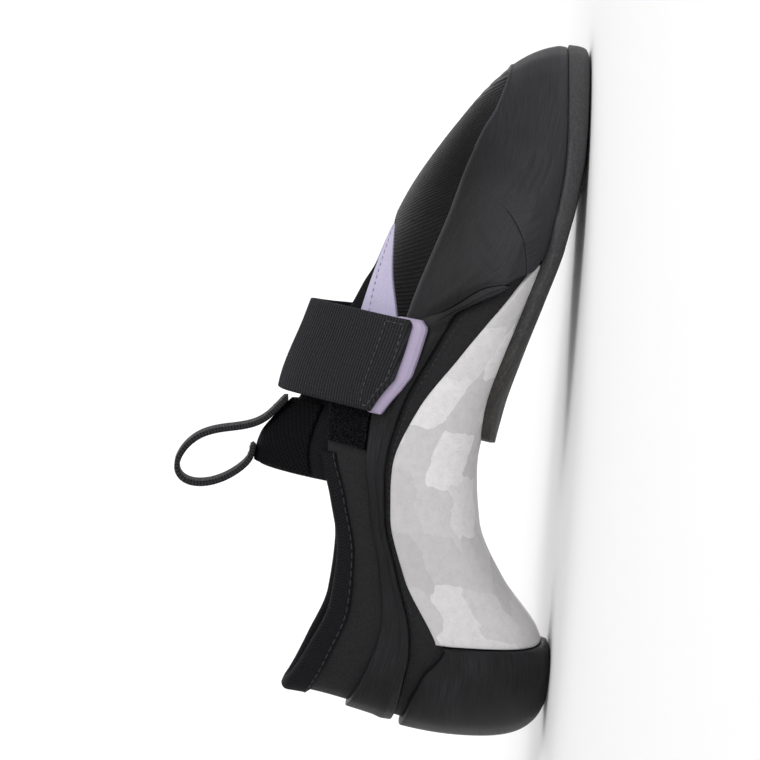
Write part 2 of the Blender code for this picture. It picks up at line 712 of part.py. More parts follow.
def main():
    """Builds every piece of the shoe."""
    for old in list(bpy.data.objects):
        bpy.data.objects.remove(old, do_unlink=True)
    fabric = make_material("black_microfibre", (0.012, 0.012, 0.014), 0.8)
    knit = make_material("black_knit", (0.016, 0.016, 0.019), 0.9)
    rubber = make_material("rand_rubber", (0.014, 0.014, 0.016), 0.5)
    tread = make_material("sole_rubber", (0.020, 0.018, 0.017), 0.75)
    suede = make_material("grey_suede", (0.60, 0.59, 0.60), 0.85)
    edging = make_material("lavender_edging", (0.45, 0.38, 0.62), 0.6)
    moulded = make_material("lavender_tab", (0.50, 0.42, 0.68), 0.4)
    webbing = make_material("black_webbing", (0.018, 0.018, 0.020), 0.85)
    lining = make_material("insole_felt", (0.10, 0.10, 0.11), 0.9)
    make_upper(fabric)
    make_outsole(tread)
    make_insole(lining)
    make_tongue(knit)
    make_toe_rand(rubber)
    make_wing("outer_wing_rand", -1, rubber)
    make_wing("inner_wing_rand", 1, rubber)
    make_toe_patch(rubber)
    make_patch_arm("outer_patch_arm", -1, rubber)
    make_patch_arm("inner_patch_arm", 1, rubber)
    make_trim("outer_throat_trim", -1, edging)
    make_trim("inner_throat_trim", 1, edging)
    make_sling(rubber)
    make_heel_cup(rubber)
    make_arch_panel(suede)
    make_pile(webbing)
    make_binding(knit)
    make_band(knit)
    make_tab(moulded)
    make_strap(webbing)
    make_pull_loop(webbing)


main()
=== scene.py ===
"""The looks of a downturned climbing shoe for the right foot, closed by one strap.

Every cover of the shoe lies on one form, the last, read at a signed station (outer side below
zero, inner side above, 0 at the toe) and a height number (0 under the sole, 1 on the widest line,
2 on the ridge or rim). Lengths are metres, pattern sizes are millimetres.
"""
from __future__ import annotations

import logging
import math
from dataclasses import dataclass
from enum import Enum, Flag, auto
from typing import Callable, Sequence

import bpy
import numpy as np
from mathutils import Matrix, Vector


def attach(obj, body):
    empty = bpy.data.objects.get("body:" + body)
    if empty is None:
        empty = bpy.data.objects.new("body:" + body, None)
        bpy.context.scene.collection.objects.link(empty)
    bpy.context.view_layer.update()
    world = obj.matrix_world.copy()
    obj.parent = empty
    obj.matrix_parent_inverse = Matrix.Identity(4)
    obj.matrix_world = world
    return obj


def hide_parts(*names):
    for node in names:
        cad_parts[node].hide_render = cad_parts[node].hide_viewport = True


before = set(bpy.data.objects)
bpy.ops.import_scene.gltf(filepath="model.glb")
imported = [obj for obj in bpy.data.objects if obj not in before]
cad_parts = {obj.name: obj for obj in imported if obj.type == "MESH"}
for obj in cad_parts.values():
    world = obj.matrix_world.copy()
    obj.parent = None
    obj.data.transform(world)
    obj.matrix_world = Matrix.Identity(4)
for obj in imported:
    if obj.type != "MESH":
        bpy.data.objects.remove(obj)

LOG = logging.getLogger("climbing_shoe")
MM = 0.001
WELDS_PER_METRE = 2e6
HANDLE_STEP = 0.06
BEND = (0.0, 0.05, 0.18, 0.40, 0.68)
Grid = np.ndarray


class Side(Enum):
    """The two sides of the right shoe."""

    OUTER = -1
    INNER = 1


class Edge(Flag):
    """The sides of a cover's grid that end in a rounded edge."""

    START = auto()
    END = auto()
    LEFT = auto()
    RIGHT = auto()
    ROUND = START | END | LEFT | RIGHT


@dataclass(frozen=True)
class Sizes:
    """The shoe's driving sizes and layers, as its solids have them."""

    length: float = 0.228
    ball_width: float = 0.0755
    instep_height: float = 0.079
    heel_height: float = 0.085
    arch_rise: float = 0.0265
    wall: float = 0.0020
    tongue: float = 0.0016
    insole: float = 0.0015
    sole: float = 0.0043
    sole_edge: float = 0.0088
    sole_stand: float = 0.0027
    sole_inset: float = 0.0012
    rand: float = 0.0017
    patch: float = 0.0015
    panel: float = 0.0010
    cup: float = 0.0026
    trim: float = 0.0010
    pile: float = 0.0012
    band: float = 0.0014
    binding: float = 0.0010
    tab: float = 0.0030
    strap: float = 0.0022
    strap_width: float = 0.0300
    loop_width: float = 0.0120
    loop_thick: float = 0.0018
    loop_reach: float = 0.0260
    gap: float = 0.00035
    toe_flat: float = 0.0005
    heel_flat: float = 0.0012
    close: float = 0.00005


SIZES = Sizes()


def bezier(p0: Grid, p1: Grid, p2: Grid, p3: Grid, u: Grid) -> Grid:
    """Gives points on curves of four control points."""
    v = 1 - u
    return v ** 3 * p0 + 3 * v * v * u * p1 + 3 * v * u * u * p2 + u ** 3 * p3


def vector(*parts: Grid) -> Grid:
    """Joins three arrays of coordinates into points."""
    return np.stack(np.broadcast_arrays(*parts), axis=-1)


def unit(vectors: Grid) -> Grid:
    """Scales vectors to length one."""
    return vectors / np.maximum(np.linalg.norm(vectors, axis=-1, keepdims=True), 1e-12)


def ramp(value: Grid, low: float, high: float) -> Grid:
    """Rises smoothly from 0 at low to 1 at high."""
    u = np.clip((value - low) / (high - low), 0.0, 1.0)
    return u * u * (3 - 2 * u)


def weld(points: Grid) -> tuple[Grid, Grid]:
    """Numbers a grid's points so that points in one place share a number.

    Args:
        points: the grid of points.

    Returns:
        The place of each number's first point, and the grid of numbers.
    """
    keys = np.round(points.reshape(-1, 3) * WELDS_PER_METRE).astype(np.int64)
    _, first, numbers = np.unique(keys, axis=0, return_index=True, return_inverse=True)
    return first, numbers.reshape(points.shape[:2])


class Last:
    """The form inside the shoe, as a surface of a station and a height number."""

    columns = ("wide_x", "outer", "inner", "rise", "mid_x", "mid_y", "lift", "top_x", "top_y",
               "open", "top_z", "upright")
    heel_seat = 0.891
    heel_rest = 0.918
    heel_top = 1.076
    rows = (
        (0.000, 0.262, 0.262, 0.078, 0.090, 0.150, 0.000, 0.094, 0.185, 0.000, 0.470, 0.00),
        (0.008, 0.147, 0.360, 0.078, 0.090, 0.150, 0.000, 0.094, 0.185, 0.000, 0.470, 0.00),
        (0.027, 0.035, 0.436, 0.078, 0.090, 0.150, 0.000, 0.094, 0.185, 0.000, 0.470, 0.00),
        (0.054, -0.070, 0.461, 0.083, 0.090, 0.150, 0.000, 0.094, 0.185, 0.000, 0.470, 0.00),
        (0.090, -0.175, 0.462, 0.094, 0.090, 0.150, 0.000, 0.094, 0.185, 0.000, 0.470, 0.00),
        (0.143, -0.294, 0.455, 0.108, 0.143, 0.090, 0.020, 0.148, 0.140, 0.000, 0.578, 0.00),
        (0.206, -0.389, 0.466, 0.130, 0.206, 0.050, 0.090, 0.208, 0.110, 0.000, 0.682, 0.00),
        (0.278, -0.458, 0.497, 0.128, 0.278, 0.025, 0.235, 0.252, 0.075, 0.000, 0.742, 0.00),
        (0.358, -0.482, 0.513, 0.138, 0.358, 0.015, 0.455, 0.345, 0.040, 0.072, 0.835, 0.05),
        (0.439, -0.459, 0.478, 0.165, 0.439, 0.008, 0.680, 0.430, 0.020, 0.130, 0.900, 0.20),
        (0.524, -0.408, 0.407, 0.203, 0.524, 0.000, 0.885, 0.515, 0.000, 0.178, 0.975, 0.45),
        (0.609, -0.370, 0.354, 0.221, 0.609, 0.000, 1.000, 0.590, 0.000, 0.235, 0.990, 0.75),
        (0.694, -0.352, 0.334, 0.253, 0.694, 0.000, 0.930, 0.665, 0.000, 0.285, 0.935, 0.95),
        (0.779, -0.345, 0.332, 0.300, 0.779, 0.000, 0.590, 0.745, 0.000, 0.300, 0.890, 1.00),
        (0.851, -0.340, 0.332, 0.342, 0.846, 0.000, 0.150, 0.820, 0.000, 0.282, 0.905, 1.00),
        (0.914, -0.304, 0.298, 0.342, heel_seat, 0.000, 0.000, 0.885, 0.000, 0.226, 0.975, 1.00),
        (0.958, -0.219, 0.215, 0.330, heel_seat, 0.000, 0.000, 0.928, 0.000, 0.150, 1.030, 1.00),
        (0.987, -0.114, 0.113, 0.323, heel_seat, 0.000, 0.000, 0.950, 0.000, 0.072, 1.065, 1.00),
        (1.000, 0.000, 0.000, 0.323, heel_seat, 0.000, 0.000, 0.957, 0.000, 0.000, heel_top, 1.00),
    )
    toe = 4
    throat = 7
    collar = 11
    heel = len(rows) - 1
    cup = heel - 3
    panel_start = (6.5, 7.0)
    ridge_slope = 0.73
    belly = (0.80, 0.84)
    shoulder = (0.10, 0.40)
    ridge_reach = 0.5
    rim_reach = (0.16, 0.16, 0.36)

    def __init__(self, sizes: Sizes) -> None:
        """Reads the table of sections.

        Args:
            sizes: the shoe's sizes.
        """
        self.sizes = sizes
        self.length = sizes.length - sizes.rand - sizes.cup - 2 * sizes.gap
        self.width = sizes.ball_width - 2 * (sizes.rand + sizes.gap)
        self.table = {name: self.smooth_column(name) for name in self.columns}

    def smooth_column(self, name: str) -> tuple[Grid, Grid]:
        """Gives a column, with one mirrored row beyond either end, and its slopes."""
        mirrored = {"outer": "inner", "inner": "outer"}.get(name, name)
        column = [row[self.columns.index(name)] for row in self.rows]
        other = [row[self.columns.index(mirrored)] for row in self.rows]
        final = -other[-2] if name == "open" else other[-2]
        values = np.array([other[1], *column, final])
        steps = np.diff(values)
        before, after = steps[:-1], steps[1:]
        rising = before * after > 0
        slopes = np.zeros(len(values))
        slopes[1:-1][rising] = (2 * before * after)[rising] / (before + after)[rising]
        return values, slopes

    def column(self, name: str, station: Grid) -> Grid:
        """Reads one column at stations from 0, the toe, to the heel."""
        values, slopes = self.table[name]
        low = np.clip(station.astype(int), 0, self.heel - 1)
        u, i = station - low, low + 1
        return ((1 + 2 * u) * (1 - u) ** 2 * values[i] + u * (1 - u) ** 2 * slopes[i]
                + u * u * (3 - 2 * u) * values[i + 1] - u * u * (1 - u) * slopes[i + 1])

    def from_toe(self, share: Grid) -> Grid:
        """Turns a share of the length, measured from the toe, into X."""
        return (self.heel_rest - share) * self.length

    @staticmethod
    def panel_share(station: Grid) -> Grid:
        """Gives how much of the pale panel lies between the sock and the sole."""
        start, end = Last.panel_start
        return np.clip((station - start) / (end - start), 0.0, 1.0)

    def underside(self, station: Grid) -> Grid:
        """Gives what lies between the last and the ground surface of the rubber."""
        s = self.sizes
        panel = (s.panel + s.gap) * self.panel_share(station)
        front, rear = s.sole + s.gap - s.toe_flat, s.cup + s.gap - s.heel_flat
        share = np.clip((station - self.toe) / (self.cup - self.toe), 0.0, 1.0)
        return front + (rear - front) * share + panel * (1 - share)

    def anchors(self, station: Grid, side: Grid) -> tuple[Grid, Grid, Grid, Grid]:
        """Gives each section's sole middle, widest point, ridge or rim, and upright share."""
        s = self.sizes
        read = {name: self.column(name, station) for name in self.columns}
        low = self.underside(station) + read["lift"] * s.arch_rise
        share = np.clip((station - self.collar) / (self.heel - self.collar), 0.0, 1.0)
        high = s.instep_height + (s.heel_height / self.heel_top - s.instep_height) * share
        middle = vector(self.from_toe(read["mid_x"]), read["mid_y"] * self.width, low)
        edge = np.where(side > 0, read["inner"], read["outer"])
        widest = vector(self.from_toe(read["wide_x"]), edge * self.width,
                        low + read["rise"] * s.instep_height)
        half = np.where(station > self.throat, read["open"], 0.0)
        top = vector(self.from_toe(read["top_x"]), (read["top_y"] + side * half) * self.width,
                     read["top_z"] * high)
        return middle, widest, top, read["upright"][..., None]

    def point(self, t: Grid, w: Grid) -> Grid:
        """Gives points of the surface."""
        t, w = np.broadcast_arrays(np.asarray(t, float), np.asarray(w, float))
        middle, widest, top, upright = self.anchors(np.abs(t), np.where(t > 0, 1.0, -1.0))
        flat, rise = np.array([1.0, 1.0, 0.0]), np.array([0.0, 0.0, 1.0])
        out = widest - middle
        low = bezier(middle, middle + self.belly[0] * out * flat,
                     widest - self.belly[1] * out * rise, widest,
                     np.minimum(w, 1.0)[..., None])
        over = top - widest
        near = (widest + self.shoulder[0] * (1 - upright) * over * flat
                + self.shoulder[1] * over * rise)
        drop = self.ridge_slope * np.maximum(-over[..., :1], 0.0) * self.ridge_reach
        ridge = top - self.ridge_reach * over * flat - drop * rise
        rim = top - over * np.array(self.rim_reach)
        high = bezier(widest, near, ridge + (rim - ridge) * upright, top,
                      np.maximum(w - 1.0, 0.0)[..., None])
        return np.where(w[..., None] <= 1, low, high)


class Surface:
    """A surface of two numbers, with normals, on which covers lie at chosen heights."""

    def __init__(self, place: Callable[[Grid, Grid], Grid], first: Grid, second: Grid,
                 way: int = 1) -> None:
        """Works out the surface's normals on a grid.

        Args:
            place: the function of two numbers that gives points.
            first: the first numbers of the grid.
            second: the second numbers of the grid.
            way: -1 where the grid's normals would point inwards.
        """
        self.place, self.first, self.second = place, first, second
        points = place(*np.meshgrid(first, second, indexing="ij"))
        _, numbers = weld(points)
        total = np.zeros((numbers.max() + 1, 3))
        cross = np.cross(points[1:, 1:] - points[:-1, :-1], points[:-1, 1:] - points[1:, :-1])
        for rows in (slice(None, -1), slice(1, None)):
            for columns in (slice(None, -1), slice(1, None)):
                np.add.at(total, numbers[rows, columns], cross)
        self.normals = way * unit(total)[numbers]

    def normal(self, a: Grid, b: Grid) -> Grid:
        """Reads unit normals between the grid's lines."""
        i = np.clip(np.searchsorted(self.first, a) - 1, 0, len(self.first) - 2)
        j = np.clip(np.searchsorted(self.second, b) - 1, 0, len(self.second) - 2)
        u = ((a - self.first[i]) / (self.first[i + 1] - self.first[i]))[..., None]
        v = ((b - self.second[j]) / (self.second[j + 1] - self.second[j]))[..., None]
        n = self.normals
        return unit((1 - u) * (1 - v) * n[i, j] + u * (1 - v) * n[i + 1, j]
                    + (1 - u) * v * n[i, j + 1] + u * v * n[i + 1, j + 1])

    def at(self, a: Grid, b: Grid, height: Grid | float) -> Grid:
        """Gives the points at a height above the surface."""
        a, b, height = np.broadcast_arrays(np.asarray(a, float), np.asarray(b, float),
                                           np.asarray(height, float))
        return self.place(a, b) + height[..., None] * self.normal(a, b)


LAST = Last(SIZES)
SKIN = Surface(LAST.point, np.linspace(-LAST.heel, LAST.heel, LAST.heel * 16 + 1),
               np.linspace(0.0, 2.0, 65))


class Border:
    """A border on the last, from pairs of a station and a height number, with its bends eased."""

    def __init__(self, *pairs: tuple[float, float], ease: float = 0.3) -> None:
        """Keeps the border's pairs.

        Args:
            pairs: stations and height numbers.
            ease: how far from a bend the easing reaches, in stations.
        """
        x, y = np.array(pairs).T
        fine = np.linspace(x[0], x[-1], max(int((x[-1] - x[0]) / 0.02), 40) + 1)
        line = np.interp(fine, x, y)
        reach = max(int(ease / (fine[1] - fine[0])), 1)
        reach = min(reach, len(fine) // 3)
        before = 2 * line[0] - line[reach:0:-1]
        after = 2 * line[-1] - line[-2:-reach - 2:-1]
        window = np.hanning(2 * reach + 3)[1:-1]
        full = np.concatenate([before, line, after])
        self.x, self.y = fine, np.convolve(full, window / window.sum(), mode="valid")

    def __call__(self, station: Grid | float) -> Grid:
        """Reads the border at stations."""
        return np.interp(station, self.x, self.y)


class Borders:
    """Every border between the covers."""

    patch_low = Border((0.0, 1.50), (3.5, 1.55), (4.5, 1.57), (6.0, 1.50), (8.7, 1.50))
    trim_low = Border((7.0, 2.00), (7.4, 1.84), (7.8, 1.73), (8.2, 1.63), (8.7, 1.53))
    panel_top = Border((7.3, 0.66), (7.7, 0.82), (8.4, 1.00), (9.2, 1.08), (10.0, 1.17),
                       (10.9, 1.27), (12.0, 1.31), (13.0, 1.28), (14.2, 1.16))
    sling_low = Border((7.7, 0.92), (8.3, 1.20), (9.2, 1.24), (10.0, 1.27), (10.9, 1.31),
                       (12.0, 1.35), (13.5, 1.34), (15.0, 1.34), (18.0, 1.36), ease=0.15)
    sling_high = Border((7.7, 0.96), (8.3, 1.24), (8.6, 1.42), (8.9, 1.50), (10.9, 1.52),
                        (12.0, 1.56), (14.0, 1.60), (16.0, 1.64), (18.0, 1.66), ease=0.15)
    cup_top = Border((14.4, 1.10), (15.0, 1.24), (16.0, 1.30), (18.0, 1.33))
    rand_end = Border((0.0, 7.48), (0.6, 6.15), (1.0, 5.80), ease=0.2)
    wing_end = Border((0.0, 7.68), (0.3, 7.80), (0.6, 8.30), (1.0, 8.60), ease=0.12)
    sole_rear = (8.6, 10.55)
    tongue = (6.6, 11.7)
    band_front = 10.25
    pile = (8.75, 10.9)
    rim = 1.985
    seam_room = 0.015
    hairline = 0.002
    waist_start = 7.2
    sling_room = 0.010
    sling_start = (7.36, 7.72)
    sling_join = 8.9

    def __init__(self) -> None:
        """Finds the sole's seam along the shoe, at its set height above the ground surface."""
        stations = np.linspace(0.0, 11.0, 221)
        lift = self.sole_lift(stations)
        base = SKIN.place(-stations, 0.0 * stations)[:, 2] - lift - SIZES.sole
        low, high = np.full(len(stations), 0.3), np.full(len(stations), 1.0)
        for _ in range(24):
            half = (low + high) / 2
            under = SKIN.place(-stations, half)[:, 2] - base < SIZES.sole_edge
            low, high = np.where(under, half, low), np.where(under, high, half)
        self.seam_x, self.seam_y = stations, low

    @staticmethod
    def sole_lift(station: Grid) -> Grid:
        """Gives the height of the sole's upper face above the last."""
        return SIZES.gap + (SIZES.panel + SIZES.gap) * LAST.panel_share(station)

    def sole_edge(self, station: Grid | float) -> Grid:
        """Reads the height number of the sole's seam."""
        return np.interp(station, self.seam_x, self.seam_y)

    def rubber_foot(self, station: Grid) -> Grid:
        """Gives the rubber's lower border over the sole's seam, the pale panel and the sling."""
        foot = self.sole_edge(station) + self.seam_room
        over_panel = np.maximum(foot, self.panel_top(station) + self.seam_room)
        foot = np.where(station > self.waist_start, over_panel, foot)
        above = np.maximum(foot, self.sling_high(station) + self.sling_room)
        return foot + (above - foot) * ramp(station, *self.sling_start)

    def rubber_line(self, station: Grid, share: Grid, root: Grid) -> Grid:
        """Gives the height number at a share of the rubber between its foot and the patch.

        Args:
            station: where the point is.
            share: how far up it is.
            root: where its row starts on the foot.

        Returns:
            The height number.
        """
        foot, roof = self.rubber_foot(root), self.patch_low(station) - self.hairline
        return foot + (roof - foot) * share

    def sling_top(self, station: Grid) -> Grid:
        """Gives the sling's upper border, which meets the wing's rear border in front."""
        share = np.linspace(0.0, 1.0, 60)
        end = self.wing_end(share)
        wing = self.rubber_line(end, share, self.wing_end(0.0 * share)) - self.hairline
        join = self.sling_join
        roof = np.interp(station, np.append(end, join), np.append(wing, self.sling_high(join)))
        return np.where(station < join, roof, self.sling_high(station))


BORDERS = Borders()


def linear(code: str) -> tuple[float, float, float, float]:
    """Turns an sRGB hex colour into linear values."""
    parts = [int(code[i:i + 2], 16) / 255 for i in (1, 3, 5)]
    red, green, blue = [p / 12.92 if p <= 0.04045 else ((p + 0.055) / 1.055) ** 2.4
                        for p in parts]
    return red, green, blue, 1.0


def node(tree: bpy.types.NodeTree, kind: str, inputs: dict | Sequence = (),
         output: int | str = 0, **settings: object) -> bpy.types.NodeSocket:
    """Adds a shader node with its settings and links.

    Args:
        tree: the material's node tree.
        kind: the node's type, without its first words.
        inputs: a number, vector, hex colour or feeding socket for each input, by name or order.
        output: the name or number of the output that is wanted.
        settings: the node's own settings.

    Returns:
        The wanted output.
    """
    made = tree.nodes.new("ShaderNode" + kind)
    for key, value in settings.items():
        setattr(made, key, value)
    for key, value in inputs.items() if isinstance(inputs, dict) else enumerate(inputs):
        if isinstance(value, bpy.types.NodeSocket):
            tree.links.new(value, made.inputs[key])
        else:
            made.inputs[key].default_value = linear(value) if isinstance(value, str) else value
    return made.outputs[output]


def every(size_mm: float) -> tuple[float, float, float]:
    """Gives the scale of a pattern in the shoe's space that repeats at a size."""
    return (1 / (size_mm * MM),) * 3


@dataclass
class Layers:
    """The sockets that a finish adds to its shader."""

    colour: bpy.types.NodeSocket | None = None
    roughness: bpy.types.NodeSocket | None = None
    height: bpy.types.NodeSocket | None = None


@dataclass(frozen=True)
class Finish:
    """A finish: what the material is, how it was made, and what that gives the eye."""

    name: str
    colour: str
    roughness: float
    ior: float = 1.50
    sheen: float = 0.0
    specular: float = 0.5
    depth_mm: float = 0.1
    strength: float = 1.0

    def layers(self, tree: bpy.types.NodeTree) -> Layers:
        """Gives the finish's own colour, roughness and height."""
        return Layers()

    def flow(self, tree: bpy.types.NodeTree) -> bpy.types.NodeSocket:
        """Gives the millimetres along and across a cover."""
        return node(tree, "UVMap", uv_map="flow")

    def space(self, tree: bpy.types.NodeTree) -> bpy.types.NodeSocket:
        """Gives the place in the shoe."""
        return node(tree, "TexCoord", output="Object")

    def mottle(self, tree: bpy.types.NodeTree, place: bpy.types.NodeSocket,
               scale: Sequence[float], detail: float = 3.0, low: float = 0.0,
               high: float = 1.0) -> bpy.types.NodeSocket:
        """Gives an uneven cloud.

        Args:
            tree: the material's node tree.
            place: the coordinates that it follows.
            scale: how often it repeats along each of them.
            detail: how fine its edges are.
            low: its least value.
            high: its greatest value.

        Returns:
            The cloud's value.
        """
        scaled = node(tree, "Mapping", {"Vector": place, "Scale": scale})
        cloud = node(tree, "TexNoise", {"Vector": scaled, "Scale": 1.0, "Detail": detail}, "Fac")
        return node(tree, "MapRange", (cloud, 0.3, 0.7, low, high))

    def make(self) -> bpy.types.Material:
        """Makes the material."""
        material = bpy.data.materials.new(self.name)
        material.use_nodes = True
        tree = material.node_tree
        shader = tree.nodes["Principled BSDF"]
        for key, value in (("Base Color", linear(self.colour)), ("Roughness", self.roughness),
                           ("IOR", self.ior), ("Metallic", 0.0), ("Sheen Weight", self.sheen),
                           ("Specular IOR Level", self.specular)):
            shader.inputs[key].default_value = value
        layers = self.layers(tree)
        bump = layers.height and node(tree, "Bump", {
            "Strength": self.strength, "Distance": self.depth_mm * MM, "Height": layers.height})
        for key, socket in (("Base Color", layers.colour), ("Roughness", layers.roughness),
                            ("Normal", bump)):
            if socket is not None:
                tree.links.new(socket, shader.inputs[key])
        return material


@dataclass(frozen=True)
class Rubber(Finish):
    """Buffed sheet rubber: a dull black with a soft broad shine, fine grain and buffing lines.

    Its colours, from the sheet up, are the dull black, the worn tone of the buffing lines, a
    painted highlight on the bead's crown and a paler painted highlight on the front, from the sole
    up.
    """

    worn: str = "#2E2E30"
    # painted highlight: a paler grey on the crown of the bead along the rubber's upper border,
    # broken up by the cloud
    rim: str = "#47474B"
    rim_highlight_least: float = 0.45
    # painted highlight: a paler tone low on the front of the rubber, standing in for light
    # reflected up from below
    painted_sheen: str = "#3A3A3E"
    painted_sheen_share: float = 0.85
    painted_sheen_least: float = 0.6
    painted_sheen_height: tuple[float, float] = (0.010, 0.040)
    painted_sheen_start: tuple[float, float] = (0.095, 0.130)
    cloud_per_m: tuple[float, float, float] = (45.0, 60.0, 60.0)
    grain_mm: float = 0.35
    streak_mm: tuple[float, float] = (14.0, 0.45)
    streaks: float = 0.6
    shine_swing: float = 0.08

    def layers(self, tree: bpy.types.NodeTree) -> Layers:
        """Gives cloudy wear, buffing lines, painted highlights on bead and front, and a fine
        grain.
        """
        flow, space = self.flow(tree), self.space(tree)
        cloud = self.mottle(tree, space, self.cloud_per_m, 4.0)
        along, across = self.streak_mm
        lines = self.mottle(tree, flow, (1 / along, 1 / across, 1.0), 5.0)
        worn = node(tree, "Math", (cloud, lines), operation="MULTIPLY")
        # painted highlight: the rim attribute marks the bead's crown, which is painted paler
        rim = node(tree, "Math", (
            node(tree, "Attribute", output="Fac", attribute_name="rim"),
            node(tree, "MapRange", (cloud, 0.0, 1.0, self.rim_highlight_least, 1.0))),
            operation="MULTIPLY")
        colour = self.colour
        # the last mix paints the paler front highlight in
        for share, tone in ((worn, self.worn), (rim, self.rim),
                            (self.painted_sheen_amount(tree, space, lines), self.painted_sheen)):
            colour = node(tree, "Mix", {0: share, 6: colour, 7: tone}, 2, data_type="RGBA")
        raised = node(tree, "Math", (lines, self.streaks), operation="MULTIPLY")
        grain = self.mottle(tree, space, every(self.grain_mm), 2.0)
        height = node(tree, "Math", (raised, grain), operation="ADD")
        uneven = node(tree, "Math", (cloud, lines), operation="ADD")
        roughness = node(tree, "MapRange", (uneven, 0.0, 2.0, self.roughness - self.shine_swing,
                                            self.roughness + self.shine_swing))
        return Layers(colour, roughness, height)

    def painted_sheen_amount(self, tree: bpy.types.NodeTree, space: bpy.types.NodeSocket,
               lines: bpy.types.NodeSocket) -> bpy.types.NodeSocket:
        """Gives how much painted highlight lies on the rubber, most of it beside the front sole.
        """
        place = node(tree, "SeparateXYZ", (space,)).node.outputs
        # painted highlight: fades out upwards between 10 and 40 mm and towards the heel
        low = node(tree, "MapRange", (place[2], *self.painted_sheen_height, self.painted_sheen_share, 0.0))
        front = node(tree, "MapRange", (place[0], *self.painted_sheen_start, 0.0, 1.0))
        streaked = node(tree, "MapRange", (lines, 0.0, 1.0, self.painted_sheen_least, 1.0))
        share = node(tree, "Math", (low, front), operation="MULTIPLY")
        return node(tree, "Math", (share, streaked), operation="MULTIPLY")


@dataclass(frozen=True)
class RidgedRubber(Rubber):
    """Moulded rubber with fine raised ridges, drawn a little coarser than the real ones."""

    # painted shade: a near-black tone laid in the troughs between the ridges
    painted_trough_shade: str = "#020203"
    ridge_share: float = 2.2

    def layers(self, tree: bpy.types.NodeTree) -> Layers:
        """Adds the ridges' sharp bottoms to the rubber, and painted shade that darkens the
        troughs.
        """
        base = super().layers(tree)
        phase = node(tree, "Attribute", output="Fac", attribute_name="ridge")
        turns = node(tree, "Math", (phase, 2 * math.pi), operation="MULTIPLY")
        wave = node(tree, "Math", (turns,), operation="COSINE")
        ridge = node(tree, "MapRange", (wave, -0.9, 0.4, 0.0, 1.0))
        raised = node(tree, "Math", (ridge, self.ridge_share), operation="MULTIPLY")
        height = node(tree, "Math", (raised, base.height), operation="ADD")
        # painted shade in the troughs, the rubber's own colour on the ridges
        colour = node(tree, "Mix", {0: ridge, 6: self.painted_trough_shade, 7: base.colour}, 2,
                      data_type="RGBA")
        return Layers(colour, base.roughness, height)


@dataclass(frozen=True)
class SoleRubber(Rubber):
    """Vulcanised sole rubber: ground matte, with long lines, pebbles and pale specks."""

    pebble_mm: float = 0.9
    pebble_share: float = 0.8
    speck: str = "#575451"

    def layers(self, tree: bpy.types.NodeTree) -> Layers:
        """Adds pebbles and pale specks left by the grinding to the rubber's lines."""
        base, space, size = super().layers(tree), self.space(tree), every(self.pebble_mm)
        pebble = node(tree, "TexVoronoi", {"Vector": space, "Scale": size[0], "Randomness": 1.0},
                      "Distance", feature="SMOOTH_F1")
        raised = node(tree, "Math", (pebble, self.pebble_share), operation="MULTIPLY")
        height = node(tree, "Math", (base.height, raised), operation="ADD")
        along, across = self.streak_mm
        lines = self.mottle(tree, self.flow(tree), (4 / along, 1 / across, 1.0), 5.0)
        specks = self.mottle(tree, space, size, 3.0, -0.5, 0.7)
        share = node(tree, "Math", (lines, specks), operation="MULTIPLY")
        colour = node(tree, "Mix", {0: share, 6: base.colour, 7: self.speck}, 2,
                      data_type="RGBA")
        return Layers(colour, base.roughness, height)


@dataclass(frozen=True)
class PrintedSuede(Finish):
    """Brushed synthetic suede, printed with plain blocks of pale greys that have wavy ends."""

    block_mm: tuple[float, float] = (19.0, 12.0)
    block_turn: float = 6.0
    block_uneven: float = 0.62
    greys: tuple[str, ...] = ("#CCCACB", "#E0DEDF", "#D2D0D1", "#E9E7E8", "#C4C2C3")
    shade: str = "#8F8D8E"
    shade_share: float = 0.30
    shade_per_m: tuple[float, float, float] = (420.0, 420.0, 420.0)
    wave_mm: float = 2.2
    wave_depth_mm: float = 1.6
    nap_mm: float = 0.45

    def layers(self, tree: bpy.types.NodeTree) -> Layers:
        """Gives the printed blocks and the nap's fine mottle."""
        space = self.space(tree)
        nap = self.mottle(tree, space, every(self.nap_mm), 3.0)
        mottle = self.mottle(tree, space, self.shade_per_m, 4.0, 0.0, self.shade_share)
        share = node(tree, "Math", (mottle, nap), operation="MULTIPLY")
        colour = node(tree, "Mix", {0: share, 6: self.blocks(tree), 7: self.shade}, 2,
                      data_type="RGBA")
        return Layers(colour, None, nap)

    def blocks(self, tree: bpy.types.NodeTree) -> bpy.types.NodeSocket:
        """Gives blocks with wavy borders, each in one of the greys."""
        flow = self.flow(tree)
        wave = node(tree, "TexNoise", {"Vector": flow, "Scale": 0.5 / self.wave_mm,
                                       "Detail": 1.5}, "Color")
        shift = node(tree, "VectorMath", (wave, (0.5, 0.5, 0.5)), operation="SUBTRACT")
        ripple = node(tree, "VectorMath", {0: shift, "Scale": 2 * self.wave_depth_mm},
                      operation="SCALE")
        moved = node(tree, "VectorMath", (flow, ripple), operation="ADD")
        along, across = self.block_mm
        turned = node(tree, "Mapping", {
            "Vector": moved, "Rotation": (0.0, 0.0, math.radians(self.block_turn))})
        scaled = node(tree, "Mapping", {"Vector": turned, "Scale": (1 / along, 1 / across, 1.0)})
        cells = node(tree, "TexVoronoi", {
            "Vector": scaled, "Scale": 1.0, "Randomness": self.block_uneven}, "Color",
            distance="CHEBYCHEV", voronoi_dimensions="2D")
        table = node(tree, "ValToRGB", (node(tree, "SeparateColor", (cells,)),))
        table.node.color_ramp.interpolation = "CONSTANT"
        stops = table.node.color_ramp.elements
        while len(stops) < len(self.greys):
            stops.new(0.5)
        for number, (stop, grey) in enumerate(zip(stops, self.greys)):
            stop.position = number / len(self.greys)
            stop.color = linear(grey)
        return table


